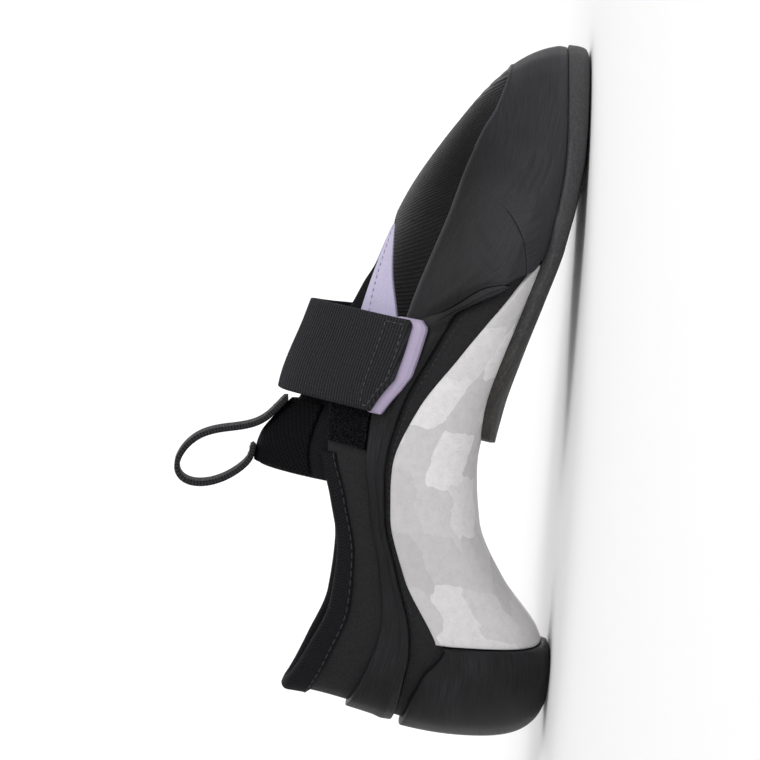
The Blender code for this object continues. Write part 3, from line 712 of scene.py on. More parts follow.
@dataclass(frozen=True)
class Woven(Finish):
    """Woven or knitted yarn: ribs across the run and finer threads along it."""

    rib_mm: float = 0.9
    thread_mm: float = 0.6
    thread_share: float = 0.5
    turn: float = 0.0
    # painted highlight on the yarns' tops; the gaps keep the darker colour as painted shade
    painted_top_highlight: str = "#242427"
    shadow: float = 0.4
    loose_per_mm: float = 1.4
    loose_share: float = 0.6

    def layers(self, tree: bpy.types.NodeTree) -> Layers:
        """Gives the yarns' rounded tops, painted lighter than the gaps, whose darker tone is
        painted shade.
        """
        flow = self.flow(tree)
        turned = node(tree, "Mapping", {"Vector": flow,
                                        "Rotation": (0.0, 0.0, math.radians(self.turn))})
        parts = node(tree, "SeparateXYZ", (turned,)).node.outputs
        threads = node(tree, "Math", (self.wave(tree, parts[1], self.thread_mm),
                                      self.thread_share), operation="MULTIPLY")
        weave = node(tree, "Math", (self.ribs(tree, parts[0]), threads), operation="ADD")
        loose = self.mottle(tree, flow, (self.loose_per_mm, self.loose_per_mm, 1.0), 3.0, 0.0,
                            self.loose_share)
        height = node(tree, "Math", (weave, loose), operation="ADD")
        # the colour follows the height: painted shade low, painted highlight high
        top = 1.0 + self.thread_share + self.shadow
        share = node(tree, "MapRange", (height, self.shadow, top, 0.0, 1.0))
        colour = node(tree, "Mix", {0: share, 6: self.colour, 7: self.painted_top_highlight}, 2,
                      data_type="RGBA")
        return Layers(colour, None, height)

    def ribs(self, tree: bpy.types.NodeTree,
             along: bpy.types.NodeSocket) -> bpy.types.NodeSocket:
        """Gives the ribs across the run."""
        return self.wave(tree, along, self.rib_mm)

    def wave(self, tree: bpy.types.NodeTree, run: bpy.types.NodeSocket,
             pitch: float) -> bpy.types.NodeSocket:
        """Gives rounded tops a pitch apart, from 0 to 1."""
        turns = node(tree, "Math", (run, 2 * math.pi / pitch), operation="MULTIPLY")
        wave = node(tree, "Math", (turns,), operation="COSINE")
        return node(tree, "MapRange", (wave, -1.0, 1.0, 0.0, 1.0))


@dataclass(frozen=True)
class RibbedWebbing(Woven):
    """Ribbed webbing, whose painted highlights and painted shade follow the ribs that its mesh
    has.
    """

    def ribs(self, tree: bpy.types.NodeTree,
             along: bpy.types.NodeSocket) -> bpy.types.NodeSocket:
        """Gives the mesh's own ribs."""
        return self.wave(tree, node(tree, "Attribute", output="Fac", attribute_name="ridge"), 1.0)


@dataclass(frozen=True)
class Fleece(Finish):
    """Napped or felted fibre, and plain moulded or twisted stock: a soft mottle, no weave."""

    fibre_mm: float = 0.5
    # painted highlight on the clumps' tops; the hollows keep the darker colour as painted shade
    painted_top_highlight: str = "#2A2A2D"

    def layers(self, tree: bpy.types.NodeTree) -> Layers:
        """Gives clumps of fibre, painted lighter on top, with painted shade between them."""
        clump = self.mottle(tree, self.space(tree), every(self.fibre_mm), 4.0)
        colour = node(tree, "Mix", {0: clump, 6: self.colour, 7: self.painted_top_highlight}, 2,
                      data_type="RGBA")
        return Layers(colour, None, clump)


class Finishes:
    """The shoe's finishes, made once each."""

    kinds = (
        # Smooth-sided sheet rubber, wrapped and buffed by hand: satin black with soft lights
        Rubber("rand_rubber_buffed", "#09090A", 0.44, 1.50, specular=0.22, depth_mm=0.06,
               strength=0.7, worn="#26262A", streak_mm=(12.0, 0.6), streaks=0.9),
        # Sole rubber, ground on its edge: duller and a touch brown, with long buffing lines
        SoleRubber("sole_rubber_ground", "#131211", 0.60, 1.50, depth_mm=0.06, strength=0.8,
                   worn="#4A4744", streak_mm=(12.0, 0.7), streaks=1.3),
        # Compression-moulded toe rubber: dark, with ridges about a millimetre apart and painted
        # shade in their troughs
        RidgedRubber("toe_rubber_moulded", "#070708", 0.40, 1.50, specular=0.16, depth_mm=0.10,
                     strength=0.7, worn="#151517", streaks=0.2),
        # Printed microfibre suede: chalky, no gloss, with a fine nap
        PrintedSuede("arch_suede_printed", "#C2C0C1", 0.92, 1.45, sheen=0.1, specular=0.2,
                     depth_mm=0.06, strength=0.6),
        # Lavender microfibre, folded: soft satin cloth with a faint nap
        Fleece("edging_microfibre_folded", "#B5AECC", 0.66, 1.45, sheen=0.15, specular=0.35,
               depth_mm=0.05, strength=0.5, fibre_mm=0.6, painted_top_highlight="#C3BDD7"),
        # Injection-moulded thermoplastic: even lavender, slightly glossy at its rounded edge
        Fleece("tab_plastic_moulded", "#ADA0BB", 0.36, 1.49, specular=0.4, depth_mm=0.02,
               strength=0.25, fibre_mm=0.9, painted_top_highlight="#B2A6C2"),
        # Ribbed polyester webbing: nearly black, with a thin painted highlight on the ribs
        RibbedWebbing("strap_webbing_woven", "#060607", 0.75, 1.50, specular=0.28,
                      depth_mm=0.12, thread_mm=1.3, thread_share=0.15, painted_top_highlight="#2F2F34"),
        # Brushed loop fabric: dense fuzz, the darkest cloth of the shoe
        Fleece("loop_pile_brushed", "#040405", 0.95, 1.50, specular=0.05, depth_mm=0.3,
               fibre_mm=0.7, painted_top_highlight="#111113"),
        # Single fibres of the loop fabric: they pick up a little more light than its ground
        Fleece("loop_pile_fibre", "#0C0C0E", 0.85, 1.50, specular=0.15, depth_mm=0.02,
               painted_top_highlight="#3E3E44"),
        # Stretch knit of the tongue: fine even stitches
        Woven("tongue_knit_stretch", "#0A0A0C", 0.85, 1.50, specular=0.15, depth_mm=0.10,
              rib_mm=0.9, thread_mm=0.9, turn=35.0, painted_top_highlight="#1F1F23"),
        # Elastic web: short raised scales in staggered rows
        Woven("elastic_web_knitted", "#040405", 0.80, 1.50, specular=0.10, depth_mm=0.30,
              rib_mm=1.15, thread_mm=1.15, thread_share=1.0, turn=45.0, painted_top_highlight="#17171B"),
        # Microfibre of the sock: fine leather-like grain
        Fleece("sock_microfibre_lasted", "#0B0B0D", 0.66, 1.50, specular=0.3, depth_mm=0.14,
               strength=0.9, fibre_mm=0.8, painted_top_highlight="#1B1B1E"),
        # Needled felt of the footbed
        Fleece("footbed_felt_needled", "#3A3A3E", 0.95, 1.50, sheen=0.2, specular=0.1,
               depth_mm=0.12, fibre_mm=0.9, painted_top_highlight="#55555A"),
        # Polyester sewing thread: black, grey and lavender, each a little off its cloth's tone
        Fleece("thread_black_twisted", "#161618", 0.55, 1.50, depth_mm=0.01, painted_top_highlight="#2E2E33"),
        Fleece("thread_grey_twisted", "#2E2D32", 0.55, 1.50, depth_mm=0.01, painted_top_highlight="#4F4E55"),
        Fleece("thread_lavender_twisted", "#8F87A6", 0.55, 1.50, depth_mm=0.01,
               painted_top_highlight="#A69FBC"),
        # Seamless paper of the studio: even, pale, no gloss
        Finish("studio_paper_seamless", "#FAFAFA", 0.95, specular=0.1),
    )

    def __init__(self) -> None:
        """Makes every material."""
        self.made = {finish.name: finish.make() for finish in self.kinds}

    def __getitem__(self, name: str) -> bpy.types.Material:
        """Gives a material by its name."""
        return self.made[name]


@dataclass
class Maker:
    """Builds meshes, dresses them and ties them to the shoe's body."""

    finishes: Finishes
    edge_drop: float = 0.90
    soft_crease: float = 60.0
    crisp_crease: float = 25.0

    def dress(self, name: str, mesh: bpy.types.Mesh, finish: str, slot: str,
              stands_for: Sequence[str] = ()) -> bpy.types.Object:
        """Makes a piece of a mesh.

        Args:
            name: the piece's name.
            mesh: its mesh.
            finish: its material's name.
            slot: the record's material slot; not used.
            stands_for: the solids that it replaces.

        Returns:
            The piece.
        """
        mesh.materials.append(self.finishes[finish])
        piece = bpy.data.objects.new(name, mesh)
        bpy.context.scene.collection.objects.link(piece)
        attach(piece, "root")
        if stands_for:
            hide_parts(*stands_for)
        LOG.info("%s: %d faces, %s", name, len(mesh.polygons), finish)
        return piece

    @staticmethod
    def finish_mesh(mesh: bpy.types.Mesh, crease: float) -> bpy.types.Mesh:
        """Turns a closed mesh outwards and shades it smooth, but for its creases."""
        mesh.calc_loop_triangles()
        points = np.empty(len(mesh.vertices) * 3)
        mesh.vertices.foreach_get("co", points)
        corners = np.empty(len(mesh.loop_triangles) * 3, dtype=np.int32)
        mesh.loop_triangles.foreach_get("vertices", corners)
        a, b, c = np.moveaxis(points.reshape(-1, 3)[corners.reshape(-1, 3)], 1, 0)
        if np.einsum("ij,ij->", a, np.cross(b, c)) < 0:
            mesh.flip_normals()
        mesh.shade_smooth()
        mesh.set_sharp_from_angle(angle=math.radians(crease))
        return mesh

    def shell(self, name: str, low: Grid, high: Grid, marks: dict[str, Grid] | None = None,
              crease: float = soft_crease) -> bpy.types.Mesh:
        """Makes a closed mesh between two grids of points, welded where the grid meets itself.

        Args:
            name: the mesh's name.
            low: the grid of the hidden face.
            high: the grid of the shown face.
            marks: numbers on the grid, kept as attributes.
            crease: the angle in degrees from which an edge stays sharp.

        Returns:
            The mesh, with a map of the millimetres along and across it.
        """
        first, ids = weld(high)
        count, spots = len(first), np.arange(ids.size).reshape(ids.shape)
        flow = self.flow(high).reshape(-1, 2)
        faces, places, edges = [], [], {}
        rings, squares = [np.stack([g[:-1, :-1], g[1:, :-1], g[1:, 1:], g[:-1, 1:]], -1)
                          .reshape(-1, 4).tolist() for g in (ids, spots)]
        for ring, square in zip(rings, squares):
            keep = [k for k in range(4) if ring[k] != ring[k - 1]]
            if len(keep) < 3 or len({ring[k] for k in keep}) < len(keep):
                continue
            ring, square = [ring[k] for k in keep], [square[k] for k in keep]
            faces += [ring, [v + count for v in reversed(ring)]]
            places += [square, square[::-1]]
            for k, v in enumerate(ring):
                edges[(ring[k - 1], v)] = (square[k - 1], square[k])
        for (a, b), (spot_a, spot_b) in edges.items():
            if (b, a) not in edges:
                faces.append([b, a, a + count, b + count])
                places.append([spot_b, spot_a, spot_a, spot_b])
        used = sorted({v for face in faces for v in face})
        renumber = {v: n for n, v in enumerate(used)}
        points = np.concatenate([high.reshape(-1, 3)[first], low.reshape(-1, 3)[first]])
        mesh = bpy.data.meshes.new(name)
        mesh.from_pydata(points[used].tolist(), [], [[renumber[v] for v in f] for f in faces])
        layer = mesh.uv_layers.new(name="flow")
        layer.uv.foreach_set("vector", flow[np.concatenate(places)].ravel())
        for key, grid in (marks or {}).items():
            values = np.tile(grid.reshape(-1)[first], 2)[used]
            mesh.attributes.new(key, "FLOAT", "POINT").data.foreach_set("value", values)
        return self.finish_mesh(mesh, crease)

    @staticmethod
    def runs(points: Grid) -> tuple[Grid, Grid]:
        """Gives the way along and across a grid from its first row and column."""
        along = np.linalg.norm(np.diff(points, axis=0), axis=2).cumsum(0)
        across = np.linalg.norm(np.diff(points, axis=1), axis=2).cumsum(1)
        return np.pad(along, ((1, 0), (0, 0))), np.pad(across, ((0, 0), (1, 0)))

    @staticmethod
    def flow(points: Grid) -> Grid:
        """Gives the millimetres along and across a grid from its middle."""
        along, across = Maker.runs(points)
        middle_row, middle_column = points.shape[0] // 2, points.shape[1] // 2
        along -= along[middle_row]
        across -= across[:, middle_column:middle_column + 1]
        return np.stack([along, across], -1) / MM

    def rounding(self, points: Grid, edges: Edge, radius: float,
                 ends_kept: Grid | float = 1.0, sides_kept: Grid | float = 1.0,
                 flat: bool = False) -> Grid:
        """Gives how far each point has risen over a rounded edge.

        Args:
            points: the grid of points.
            edges: its rounded edges.
            radius: their radius.
            ends_kept: how much of the start's and end's rounding stays.
            sides_kept: how much of the left and right rounding stays.
            flat: whether the edges are cut flat instead.

        Returns:
            Shares from almost 0 to 1.
        """
        along, across = self.runs(points)
        fall = np.zeros(along.shape)
        for edge, run, kept in ((Edge.START, along, ends_kept),
                                (Edge.END, along[-1] - along, ends_kept),
                                (Edge.LEFT, across, sides_kept),
                                (Edge.RIGHT, across[:, -1:] - across, sides_kept)):
            if edge & edges:
                x = np.clip(run / radius, 0.0, 1.0)
                drop = 1 - x if flat else 1 - np.sqrt(1 - (1 - x) ** 2)
                fall = np.maximum(fall, kept * drop)
        return 1 - self.edge_drop * fall

    def cover(self, name: str, surface: Surface, a: Grid, b: Grid, under: Grid | float,
              over: Grid | float, edges: Edge = Edge.ROUND, radius: float = 0.0007,
              relief: Callable[[Grid], Grid] | None = None,
              marks: dict[str, Grid] | None = None, ends_kept: Grid | float = 1.0,
              sides_kept: Grid | float = 1.0, flat: bool = False) -> bpy.types.Mesh:
        """Makes a sheet that lies on a surface.

        Args:
            name: the mesh's name.
            surface: what it lies on.
            a: the grid of first numbers.
            b: the grid of second numbers.
            under: the height of its hidden face.
            over: the height of its shown face.
            edges: its rounded edges.
            radius: their radius.
            relief: gives the raised and sunk places of its shown face.
            marks: numbers on the grid, kept as attributes.
            ends_kept: how much of the start's and end's rounding stays.
            sides_kept: how much of the left and right rounding stays.
            flat: whether its edges are cut flat and stay crisp.

        Returns:
            The mesh.
        """
        base = surface.at(a, b, over)
        share = self.rounding(base, edges, radius, ends_kept, sides_kept, flat)
        height = under + (over - under) * share
        if relief is not None:
            height = height + relief(base) * share
        return self.shell(name, surface.at(a, b, under), surface.at(a, b, height), marks,
                          self.crisp_crease if flat else self.soft_crease)


def spread(length: float, step: float, start: float = 0.0, end: float = 0.0) -> Grid:
    """Gives even shares of a run, with finer ones over a rounded start or end.

    Args:
        length: the run's length.
        step: the even step.
        start: the radius of a rounded start, or 0.
        end: the radius of a rounded end, or 0.

    Returns:
        Shares from 0 to 1.
    """
    bend = np.array(BEND)
    count = max(round((length - start - end) / step), 2)
    parts = [bend * start] if start else []
    parts.append(np.linspace(start, length - end, count + 1))
    if end:
        parts.append(length - (bend * end)[::-1])
    return np.concatenate(parts) / length


def even_stations(start: float, end: float, height: float, step: float, first: float = 0.0,
                  last: float = 0.0) -> Grid:
    """Gives stations that lie evenly along the last at a height number.

    Args:
        start: the first station.
        end: the last station.
        height: the height number.
        step: the even step.
        first: the radius of a rounded start, or 0.
        last: the radius of a rounded end, or 0.

    Returns:
        The stations.
    """
    fine = np.linspace(start, end, 600)
    path = SKIN.at(fine, height, SIZES.gap + SIZES.rand)
    run = np.concatenate([[0.0], np.linalg.norm(np.diff(path, axis=0), axis=1).cumsum()])
    return np.interp(run[-1] * spread(run[-1], step, first, last), run, fine)


def lines_at(shares: Grid, low: Grid, high: Grid) -> Grid:
    """Gives height numbers between two borders, one row for each station."""
    return low[:, None] + (high - low)[:, None] * shares[None, :]


@dataclass(frozen=True)
class Fold:
    """A soft trough or ridge pressed into a cover, along points of the last."""

    places: tuple[tuple[float, float], ...]
    depth: float
    width: float
    least: float = 0.15
    growth: float = 4.0

    def relief(self, points: Grid) -> Grid:
        """Gives the fold's height at points, fading towards its ends."""
        t, w = np.array(self.places).T
        spine = SKIN.at(t, w, SIZES.gap + SIZES.rand)
        best = np.full(points.shape[:-1], np.inf)
        fade = np.zeros(points.shape[:-1])
        count = len(spine) - 1
        for number in range(count):
            a, b = spine[number], spine[number + 1]
            run = b - a
            share = np.clip(((points - a) @ run) / (run @ run), 0.0, 1.0)
            distance = np.linalg.norm(points - (a + share[..., None] * run), axis=-1)
            nearer = distance < best
            best = np.where(nearer, distance, best)
            place = (number + share) / count
            inside = self.growth * np.minimum(place, 1 - place) + self.least
            fade = np.where(nearer, np.minimum(1.0, inside), fade)
        return -self.depth * fade * np.exp(-(best / self.width) ** 2)


def folded(*folds: Fold) -> Callable[[Grid], Grid]:
    """Gives the relief of several folds together."""
    return lambda points: sum(fold.relief(points) for fold in folds)


@dataclass(frozen=True)
class Seam:
    """Rows of sewn stitches, each a short capsule of thread with a gap before the next."""

    length: float = 0.0021
    pause: float = 0.0009
    thick: float = 0.00042
    rings: int = 7
    sides: int = 8
    first: float = 0.15
    sunk: float = 0.15
    arch: float = 0.35

    def row(self, path: Grid, up: Grid) -> tuple[list, list]:
        """Makes the stitches of one row.

        Args:
            path: the points of the row, on the surface.
            up: the surface's normals there.

        Returns:
            Points and faces.
        """
        run = np.concatenate([[0.0], np.linalg.norm(np.diff(path, axis=0), axis=1).cumsum()])
        count = max(int(run[-1] / (self.length + self.pause)), 1)
        points, faces = [], []
        for number in range(count):
            start = run[-1] * (number + self.first) / count
            stop = start + self.length
            ends = [np.array([np.interp(s, run, path[:, k]) for k in range(3)])
                    for s in (start, stop)]
            normal = unit(np.array([np.interp(start, run, up[:, k]) for k in range(3)]))
            along = unit(ends[1] - ends[0])
            across = np.cross(normal, along)
            base, rings, sides = len(points), self.rings, self.sides
            for ring in range(rings):
                share = ring / (rings - 1)
                fat = self.thick / 2 * math.sin(math.pi * (0.08 + 0.84 * share)) ** 0.4
                rise = (self.thick * self.arch * math.sin(math.pi * share)
                        - self.thick * self.sunk)
                middle = ends[0] + (ends[1] - ends[0]) * share + normal * rise
                for side in range(sides):
                    angle = 2 * math.pi * side / sides
                    points.append(middle + fat * (math.cos(angle) * across
                                                  + math.sin(angle) * normal))
            for ring in range(rings - 1):
                for side in range(sides):
                    a, b = base + ring * sides + side, base + ring * sides + (side + 1) % sides
                    faces.append([a, b, b + sides, a + sides])
            faces.append([base + side for side in reversed(range(sides))])
            faces.append([base + (rings - 1) * sides + side for side in range(sides)])
        return points, faces

    def mesh(self, name: str, rows: Sequence[tuple[Grid, Grid]]) -> bpy.types.Mesh:
        """Makes one mesh of several rows, each a path and its normals."""
        points, faces = [], []
        for path, up in rows:
            more, rings = self.row(path, up)
            faces += [[v + len(points) for v in ring] for ring in rings]
            points += more
        mesh = bpy.data.meshes.new(name)
        mesh.from_pydata([tuple(p) for p in points], [], faces)
        mesh.uv_layers.new(name="flow")
        return Maker.finish_mesh(mesh, Maker.soft_crease)


def seam_on(surface: Surface, a: Grid, b: Grid, height: float) -> tuple[Grid, Grid]:
    """Gives the path of a seam and its normals."""
    a, b = np.broadcast_arrays(np.asarray(a, float), np.asarray(b, float))
    return surface.at(a, b, height), surface.normal(a, b)


def round_the_heel(start: float, height: float, step: float, first: float = 0.0) -> Grid:
    """Gives even stations from a start on the outer side round the heel to the inner side.

    Args:
        start: the station where both ends lie.
        height: the height number at which the step is measured.
        step: the even step.
        first: the radius of both rounded ends, or 0.

    Returns:
        Signed stations.
    """
    side = even_stations(start, LAST.heel, height, step, first)
    return np.concatenate([-side, side[-2::-1]])


@dataclass
class Sock:
    """The lasted sock with its footbed and the rolled edging of the collar."""

    maker: Maker
    rim_radius: float = 0.0009
    footbed_half: float = 0.58
    binding_start: float = 11.1
    binding_drop: float = 0.12
    binding_seam: float = 0.78

    def build(self) -> None:
        """Builds the sock, the footbed and the edging."""
        s = SIZES
        half_way = even_stations(0.0, LAST.heel, 1.2, 0.0014)
        t = np.concatenate([-half_way[::-1], half_way[1:]])
        shares = spread(0.085, 0.0017, 0.0, self.rim_radius)
        t, w = np.meshgrid(t, 2.0 * shares, indexing="ij")
        centre = -s.wall / 2
        share = self.maker.rounding(SKIN.at(t, w, 0.0), Edge.RIGHT, self.rim_radius)
        half = s.wall / 2 * share
        mesh = self.maker.shell("sock", SKIN.at(t, w, centre - half), SKIN.at(t, w, centre + half))
        self.maker.dress("sock", mesh, "sock_microfibre_lasted", "black_microfibre", ["upper"])
        self.footbed()
        self.edging()

    def footbed(self) -> None:
        """Builds the felt sheet inside the sole."""
        s = SIZES
        stations = even_stations(0.0, LAST.heel, 0.6, 0.0015)
        across = np.linspace(-self.footbed_half, self.footbed_half, 41)
        a, c = np.meshgrid(stations, across, indexing="ij")
        t, w = np.where(c < 0, -a, a), np.abs(c)
        low = SKIN.at(t, w, -s.wall - s.close)
        high = SKIN.at(t, w, -s.wall - s.gap - s.insole)
        mesh = self.maker.shell("footbed", low, high)
        self.maker.dress("footbed", mesh, "footbed_felt_needled", "insole_felt", ["insole"])

    def edging(self) -> None:
        """Builds the edging that is folded over the collar's rim."""
        s = SIZES
        t = round_the_heel(self.binding_start, 1.95, 0.0011)
        leg = np.linspace(2.0 - self.binding_drop, 2.0, 7)
        turn = np.linspace(0.0, math.pi, 9)[1:-1]
        rim = SKIN.at(t, np.full(t.shape, 2.0), -s.wall / 2)
        up = unit(rim - SKIN.at(t, np.full(t.shape, 1.96), -s.wall / 2))
        out = SKIN.normal(t, np.full(t.shape, 2.0))

        def section(spare: float) -> Grid:
            """Gives the folded sheet at a distance from the sock, one row for each station."""
            reach = s.wall / 2 + spare
            outer = [SKIN.at(t, np.full(t.shape, w), spare) for w in leg]
            over = [rim + reach * (math.cos(f) * out + math.sin(f) * up) for f in turn]
            inner = [SKIN.at(t, np.full(t.shape, w), -s.wall - spare) for w in leg[::-1]]
            return np.stack(outer + over + inner, axis=1)

        low, high = section(s.close), section(s.gap + s.binding)
        share = self.maker.rounding(high, Edge.ROUND, 0.0008)[..., None]
        mesh = self.maker.shell("collar_edging", low, low + (high - low) * share)
        self.maker.dress("collar_edging", mesh, "tongue_knit_stretch", "black_knit",
                         ["collar_binding"])
        line = np.full(t.shape, 2.0 - self.binding_drop * self.binding_seam)
        seam = Seam().mesh("collar_stitches", [seam_on(SKIN, t, line, s.gap + s.binding)])
        self.maker.dress("collar_stitches", seam, "thread_black_twisted", "black_knit")


@dataclass
class Rubbers:
    """The rubber round the toe, its two wings, the sling, the heel cup and the ridged toe."""

    maker: Maker
    finish: str = "rand_rubber_buffed"
    slot: str = "rand_rubber"
    ridge_pitch: float = 0.00115
    ridge_depth: float = 0.00022
    lean: tuple[float, float] = (0.12, 0.38)
    lean_span: tuple[float, float] = (0.115, 0.165)
    rand_edge: float = 0.00045
    hem: float = 0.3
    bead_height: float = 0.00038
    creases: tuple[Fold, ...] = (
        Fold(((-5.0, 0.93), (-5.5, 0.96), (-6.0, 1.00)), 0.00042, 0.0006),
        Fold(((-5.1, 1.00), (-5.5, 1.02), (-6.1, 1.06)), 0.00055, 0.0006),
        Fold(((-5.0, 1.07), (-5.5, 1.09), (-6.1, 1.12)), 0.00050, 0.0006),
        Fold(((-5.3, 1.14), (-5.7, 1.16), (-6.2, 1.18)), 0.00040, 0.0006),
        Fold(((-6.6, 1.36), (-7.2, 1.20), (-7.6, 0.98)), 0.00035, 0.0022),
        Fold(((-8.5, 1.44), (-7.9, 1.28), (-7.3, 1.16)), -0.00035, 0.0024),
        Fold(((6.4, 1.36), (7.0, 1.20), (7.5, 0.98)), 0.00035, 0.0022),
    )

    def build(self) -> None:
        """Builds every rubber piece above the sole."""
        self.toe_rand()
        for side in Side:
            self.wing(side)
            self.patch_arm(side)
        self.toe_patch()
        self.sling()
        self.heel_cup()

    def add(self, name: str, mesh: bpy.types.Mesh, node_name: str) -> None:
        """Dresses a piece in smooth rubber."""
        self.maker.dress(name, mesh, self.finish, self.slot, [node_name])

    def toe_rand(self) -> None:
        """Builds the smooth band round the toe."""
        s = SIZES
        along = 2 * spread(0.150, 0.0005, 0.0006, 0.0006) - 1
        up = spread(0.030, 0.0005, 0.0, 0.0007)
        k, h = np.meshgrid(along, up, indexing="ij")
        t = k * BORDERS.rand_end(h)
        w = BORDERS.rubber_line(np.abs(t), h, np.abs(k) * BORDERS.rand_end(0.0 * h))
        mesh = self.maker.cover("toe_rand_rubber", SKIN, t, w, s.close, s.gap + s.rand,
                                Edge.START | Edge.END | Edge.RIGHT, self.rand_edge, self.moulding,
                                # the rim attribute carries the painted highlight on the bead's
                                # crown
                                {"rim": self.bead(SKIN.at(t, w, s.rand))},
                                ends_kept=self.seam_share(h), sides_kept=self.hem)
        self.add("toe_rand_rubber", mesh, "toe_rand")

    @staticmethod
    def seam_share(share: Grid) -> Grid:
        """Gives how open the seam between toe rubber and wing is: closed towards the patch."""
        return 0.16 * (1 - ramp(share, 0.30, 0.62))

    def moulding(self, points: Grid) -> Grid:
        """Gives the creases, and the fine bead along the rubber's upper border."""
        return (self.bead_height * self.bead(points)
                + folded(*self.creases, *self.tension)(points))

    @staticmethod
    def bead(points: Grid) -> Grid:
        """Gives how close each point is to the crown of the bead, from 0 to 1."""
        step = np.linalg.norm(np.diff(points, axis=1), axis=2)
        down = np.pad(step[:, ::-1].cumsum(1)[:, ::-1], ((0, 0), (0, 1)))
        return np.exp(-((down - 0.0006) / 0.0005) ** 2)

    @property
    def tension(self) -> list[Fold]:
        """Gives the soft folds where the wings are pulled back: two troughs and a ridge."""
        share = np.linspace(0.02, 0.80, 14)
        end = BORDERS.wing_end(share)
        line = BORDERS.rubber_line(end, share, BORDERS.wing_end(0.0 * share))
        return [Fold(tuple(zip(side.value * (end + shift), line - 0.3 * shift)), depth, width)
                for side in Side
                for shift, depth, width in ((0.0, 0.00055, 0.0013), (0.15, -0.0005, 0.0012),
                                            (0.27, 0.00035, 0.0011))]

    def wing(self, side: Side) -> None:
        """Builds the rubber between the toe rand and the crease."""
        s = SIZES
        along = spread(0.030, 0.0006, 0.0006, 0.0006)
        up = spread(0.036, 0.0006, 0.0006, 0.0007)
        k, h = np.meshgrid(along, up, indexing="ij")
        start, end = BORDERS.rand_end(h) + 0.001, BORDERS.wing_end(h)
        station = start + (end - start) * k
        w = BORDERS.rubber_line(station, h, station[:, :1] + 0 * h)
        name = f"{side.name.lower()}_wing_rubber"
        kept = np.where(k < 0.5, self.seam_share(h), self.hem * (1 - ramp(h, 0.50, 0.85)))
        mesh = self.maker.cover(name, SKIN, side.value * station, w, s.close, s.gap + s.rand,
                                Edge.ROUND, self.rand_edge, self.moulding,
                                # the rim attribute carries the painted highlight on the bead's
                                # crown
                                {"rim": self.bead(SKIN.at(side.value * station, w, s.rand))},
                                ends_kept=kept,
                                sides_kept=np.where(h < 0.5, 1.0, 0.3))
        self.add(name, mesh, f"{side.name.lower()}_wing_rand")

    def ridges(self, points: Grid) -> Grid:
        """Gives the phase of the ridges, which run down both sides and lean to the toe."""
        middle = points.shape[1] // 2
        down = np.pad(np.linalg.norm(np.diff(points, axis=1), axis=2).cumsum(1),
                      ((0, 0), (1, 0)))
        down = np.abs(down - down[:, middle:middle + 1])
        return self.phase(points[..., 0], down)

    def phase(self, x: Grid, down: Grid) -> Grid:
        """Gives the ridges' phase from the place along the shoe and the way down its side."""
        lean = self.lean[0] + self.lean[1] * ramp(x, *self.lean_span)
        return (x - lean * down) / self.ridge_pitch

    def ridged(self, name: str, t: Grid, w: Grid, phase: Grid, edges: Edge,
               node_name: str) -> None:
        """Builds a cover with raised ridges."""
        s = SIZES
        wave = np.cos(2 * math.pi * phase)
        mesh = self.maker.cover(name, SKIN, t, w, s.close, s.gap + s.patch, edges, 0.0005,
                                lambda points: self.ridge_depth * (wave - 1) / 2,
                                {"ridge": phase}, sides_kept=0.4)
        self.maker.dress(name, mesh, "toe_rubber_moulded", self.slot, [node_name])

    def toe_patch(self) -> None:
        """Builds the ridged rubber over the toes."""
        station = even_stations(0.0, LAST.throat, 1.75, 0.00034)
        half = spread(0.020, 0.00045, 0.0005, 0.0)
        across = np.concatenate([half - 1, (1 - half)[-2::-1]])
        a, c = np.meshgrid(station, across, indexing="ij")
        t = np.where(c < 0, -a, a)
        low = BORDERS.patch_low(a)
        w = low + (2.0 - low) * (1 - np.abs(c))
        phase = self.ridges(SKIN.at(t, w, SIZES.patch))
        self.ridged("toe_patch_rubber", t, w, phase, Edge.LEFT | Edge.RIGHT, "toe_patch")

    def patch_arm(self, side: Side) -> None:
        """Builds one arm of the ridged rubber beside the throat."""
        station = even_stations(LAST.throat, 8.66, 1.6, 0.00034, 0.0, 0.0005)
        low = BORDERS.patch_low(station)
        high = np.minimum(BORDERS.trim_low(station) - 0.008, BORDERS.rim)
        w = lines_at(spread(0.018, 0.0006, 0.0005, 0.0005), low, np.maximum(high, low + 0.01))
        t = side.value * station[:, None] + 0 * w
        points = SKIN.at(t, w, SIZES.patch)
        ridge = SKIN.at(t, np.full(t.shape, 2.0), SIZES.patch)
        phase = self.phase(points[..., 0], np.linalg.norm(points - ridge, axis=-1))
        name = f"{side.name.lower()}_patch_arm_rubber"
        self.ridged(name, t, w, phase, Edge.LEFT | Edge.RIGHT | Edge.END,
                    f"{side.name.lower()}_patch_arm")

    def sling(self) -> None:
        """Builds the tensioned band from crease to crease round the heel."""
        s = SIZES
        t = round_the_heel(7.70, 1.4, 0.0008, 0.0006)
        station = np.abs(t)
        low = BORDERS.sling_low(station) + 0.01
        high = np.maximum(BORDERS.sling_top(station), low + 0.02)
        w = lines_at(spread(0.016, 0.0007, 0.0007, 0.0007), low, high)
        t = t[:, None] + 0 * w
        top = w > (low + high)[:, None] / 2
        hem = self.hem * (1 - ramp(np.abs(t), 8.15, 8.45))
        kept = np.where(top & (np.abs(t) < 8.8), hem, 1.0)
        mesh = self.maker.cover("sling_rubber", SKIN, t, w, s.close, s.gap + s.rand, Edge.ROUND,
                                0.0006, lambda points: self.sling_bead(points, w)
                                + folded(*self.tension)(points), sides_kept=kept)
        self.add("sling_rubber", mesh, "sling_rand")

    @staticmethod
    def sling_bead(points: Grid, w: Grid) -> Grid:
        """Gives the long soft bend along the lower third of the sling."""
        share = (w - w[:, :1]) / (w[:, -1:] - w[:, :1])
        return 0.0004 * np.exp(-((share - 0.22) / 0.12) ** 2)

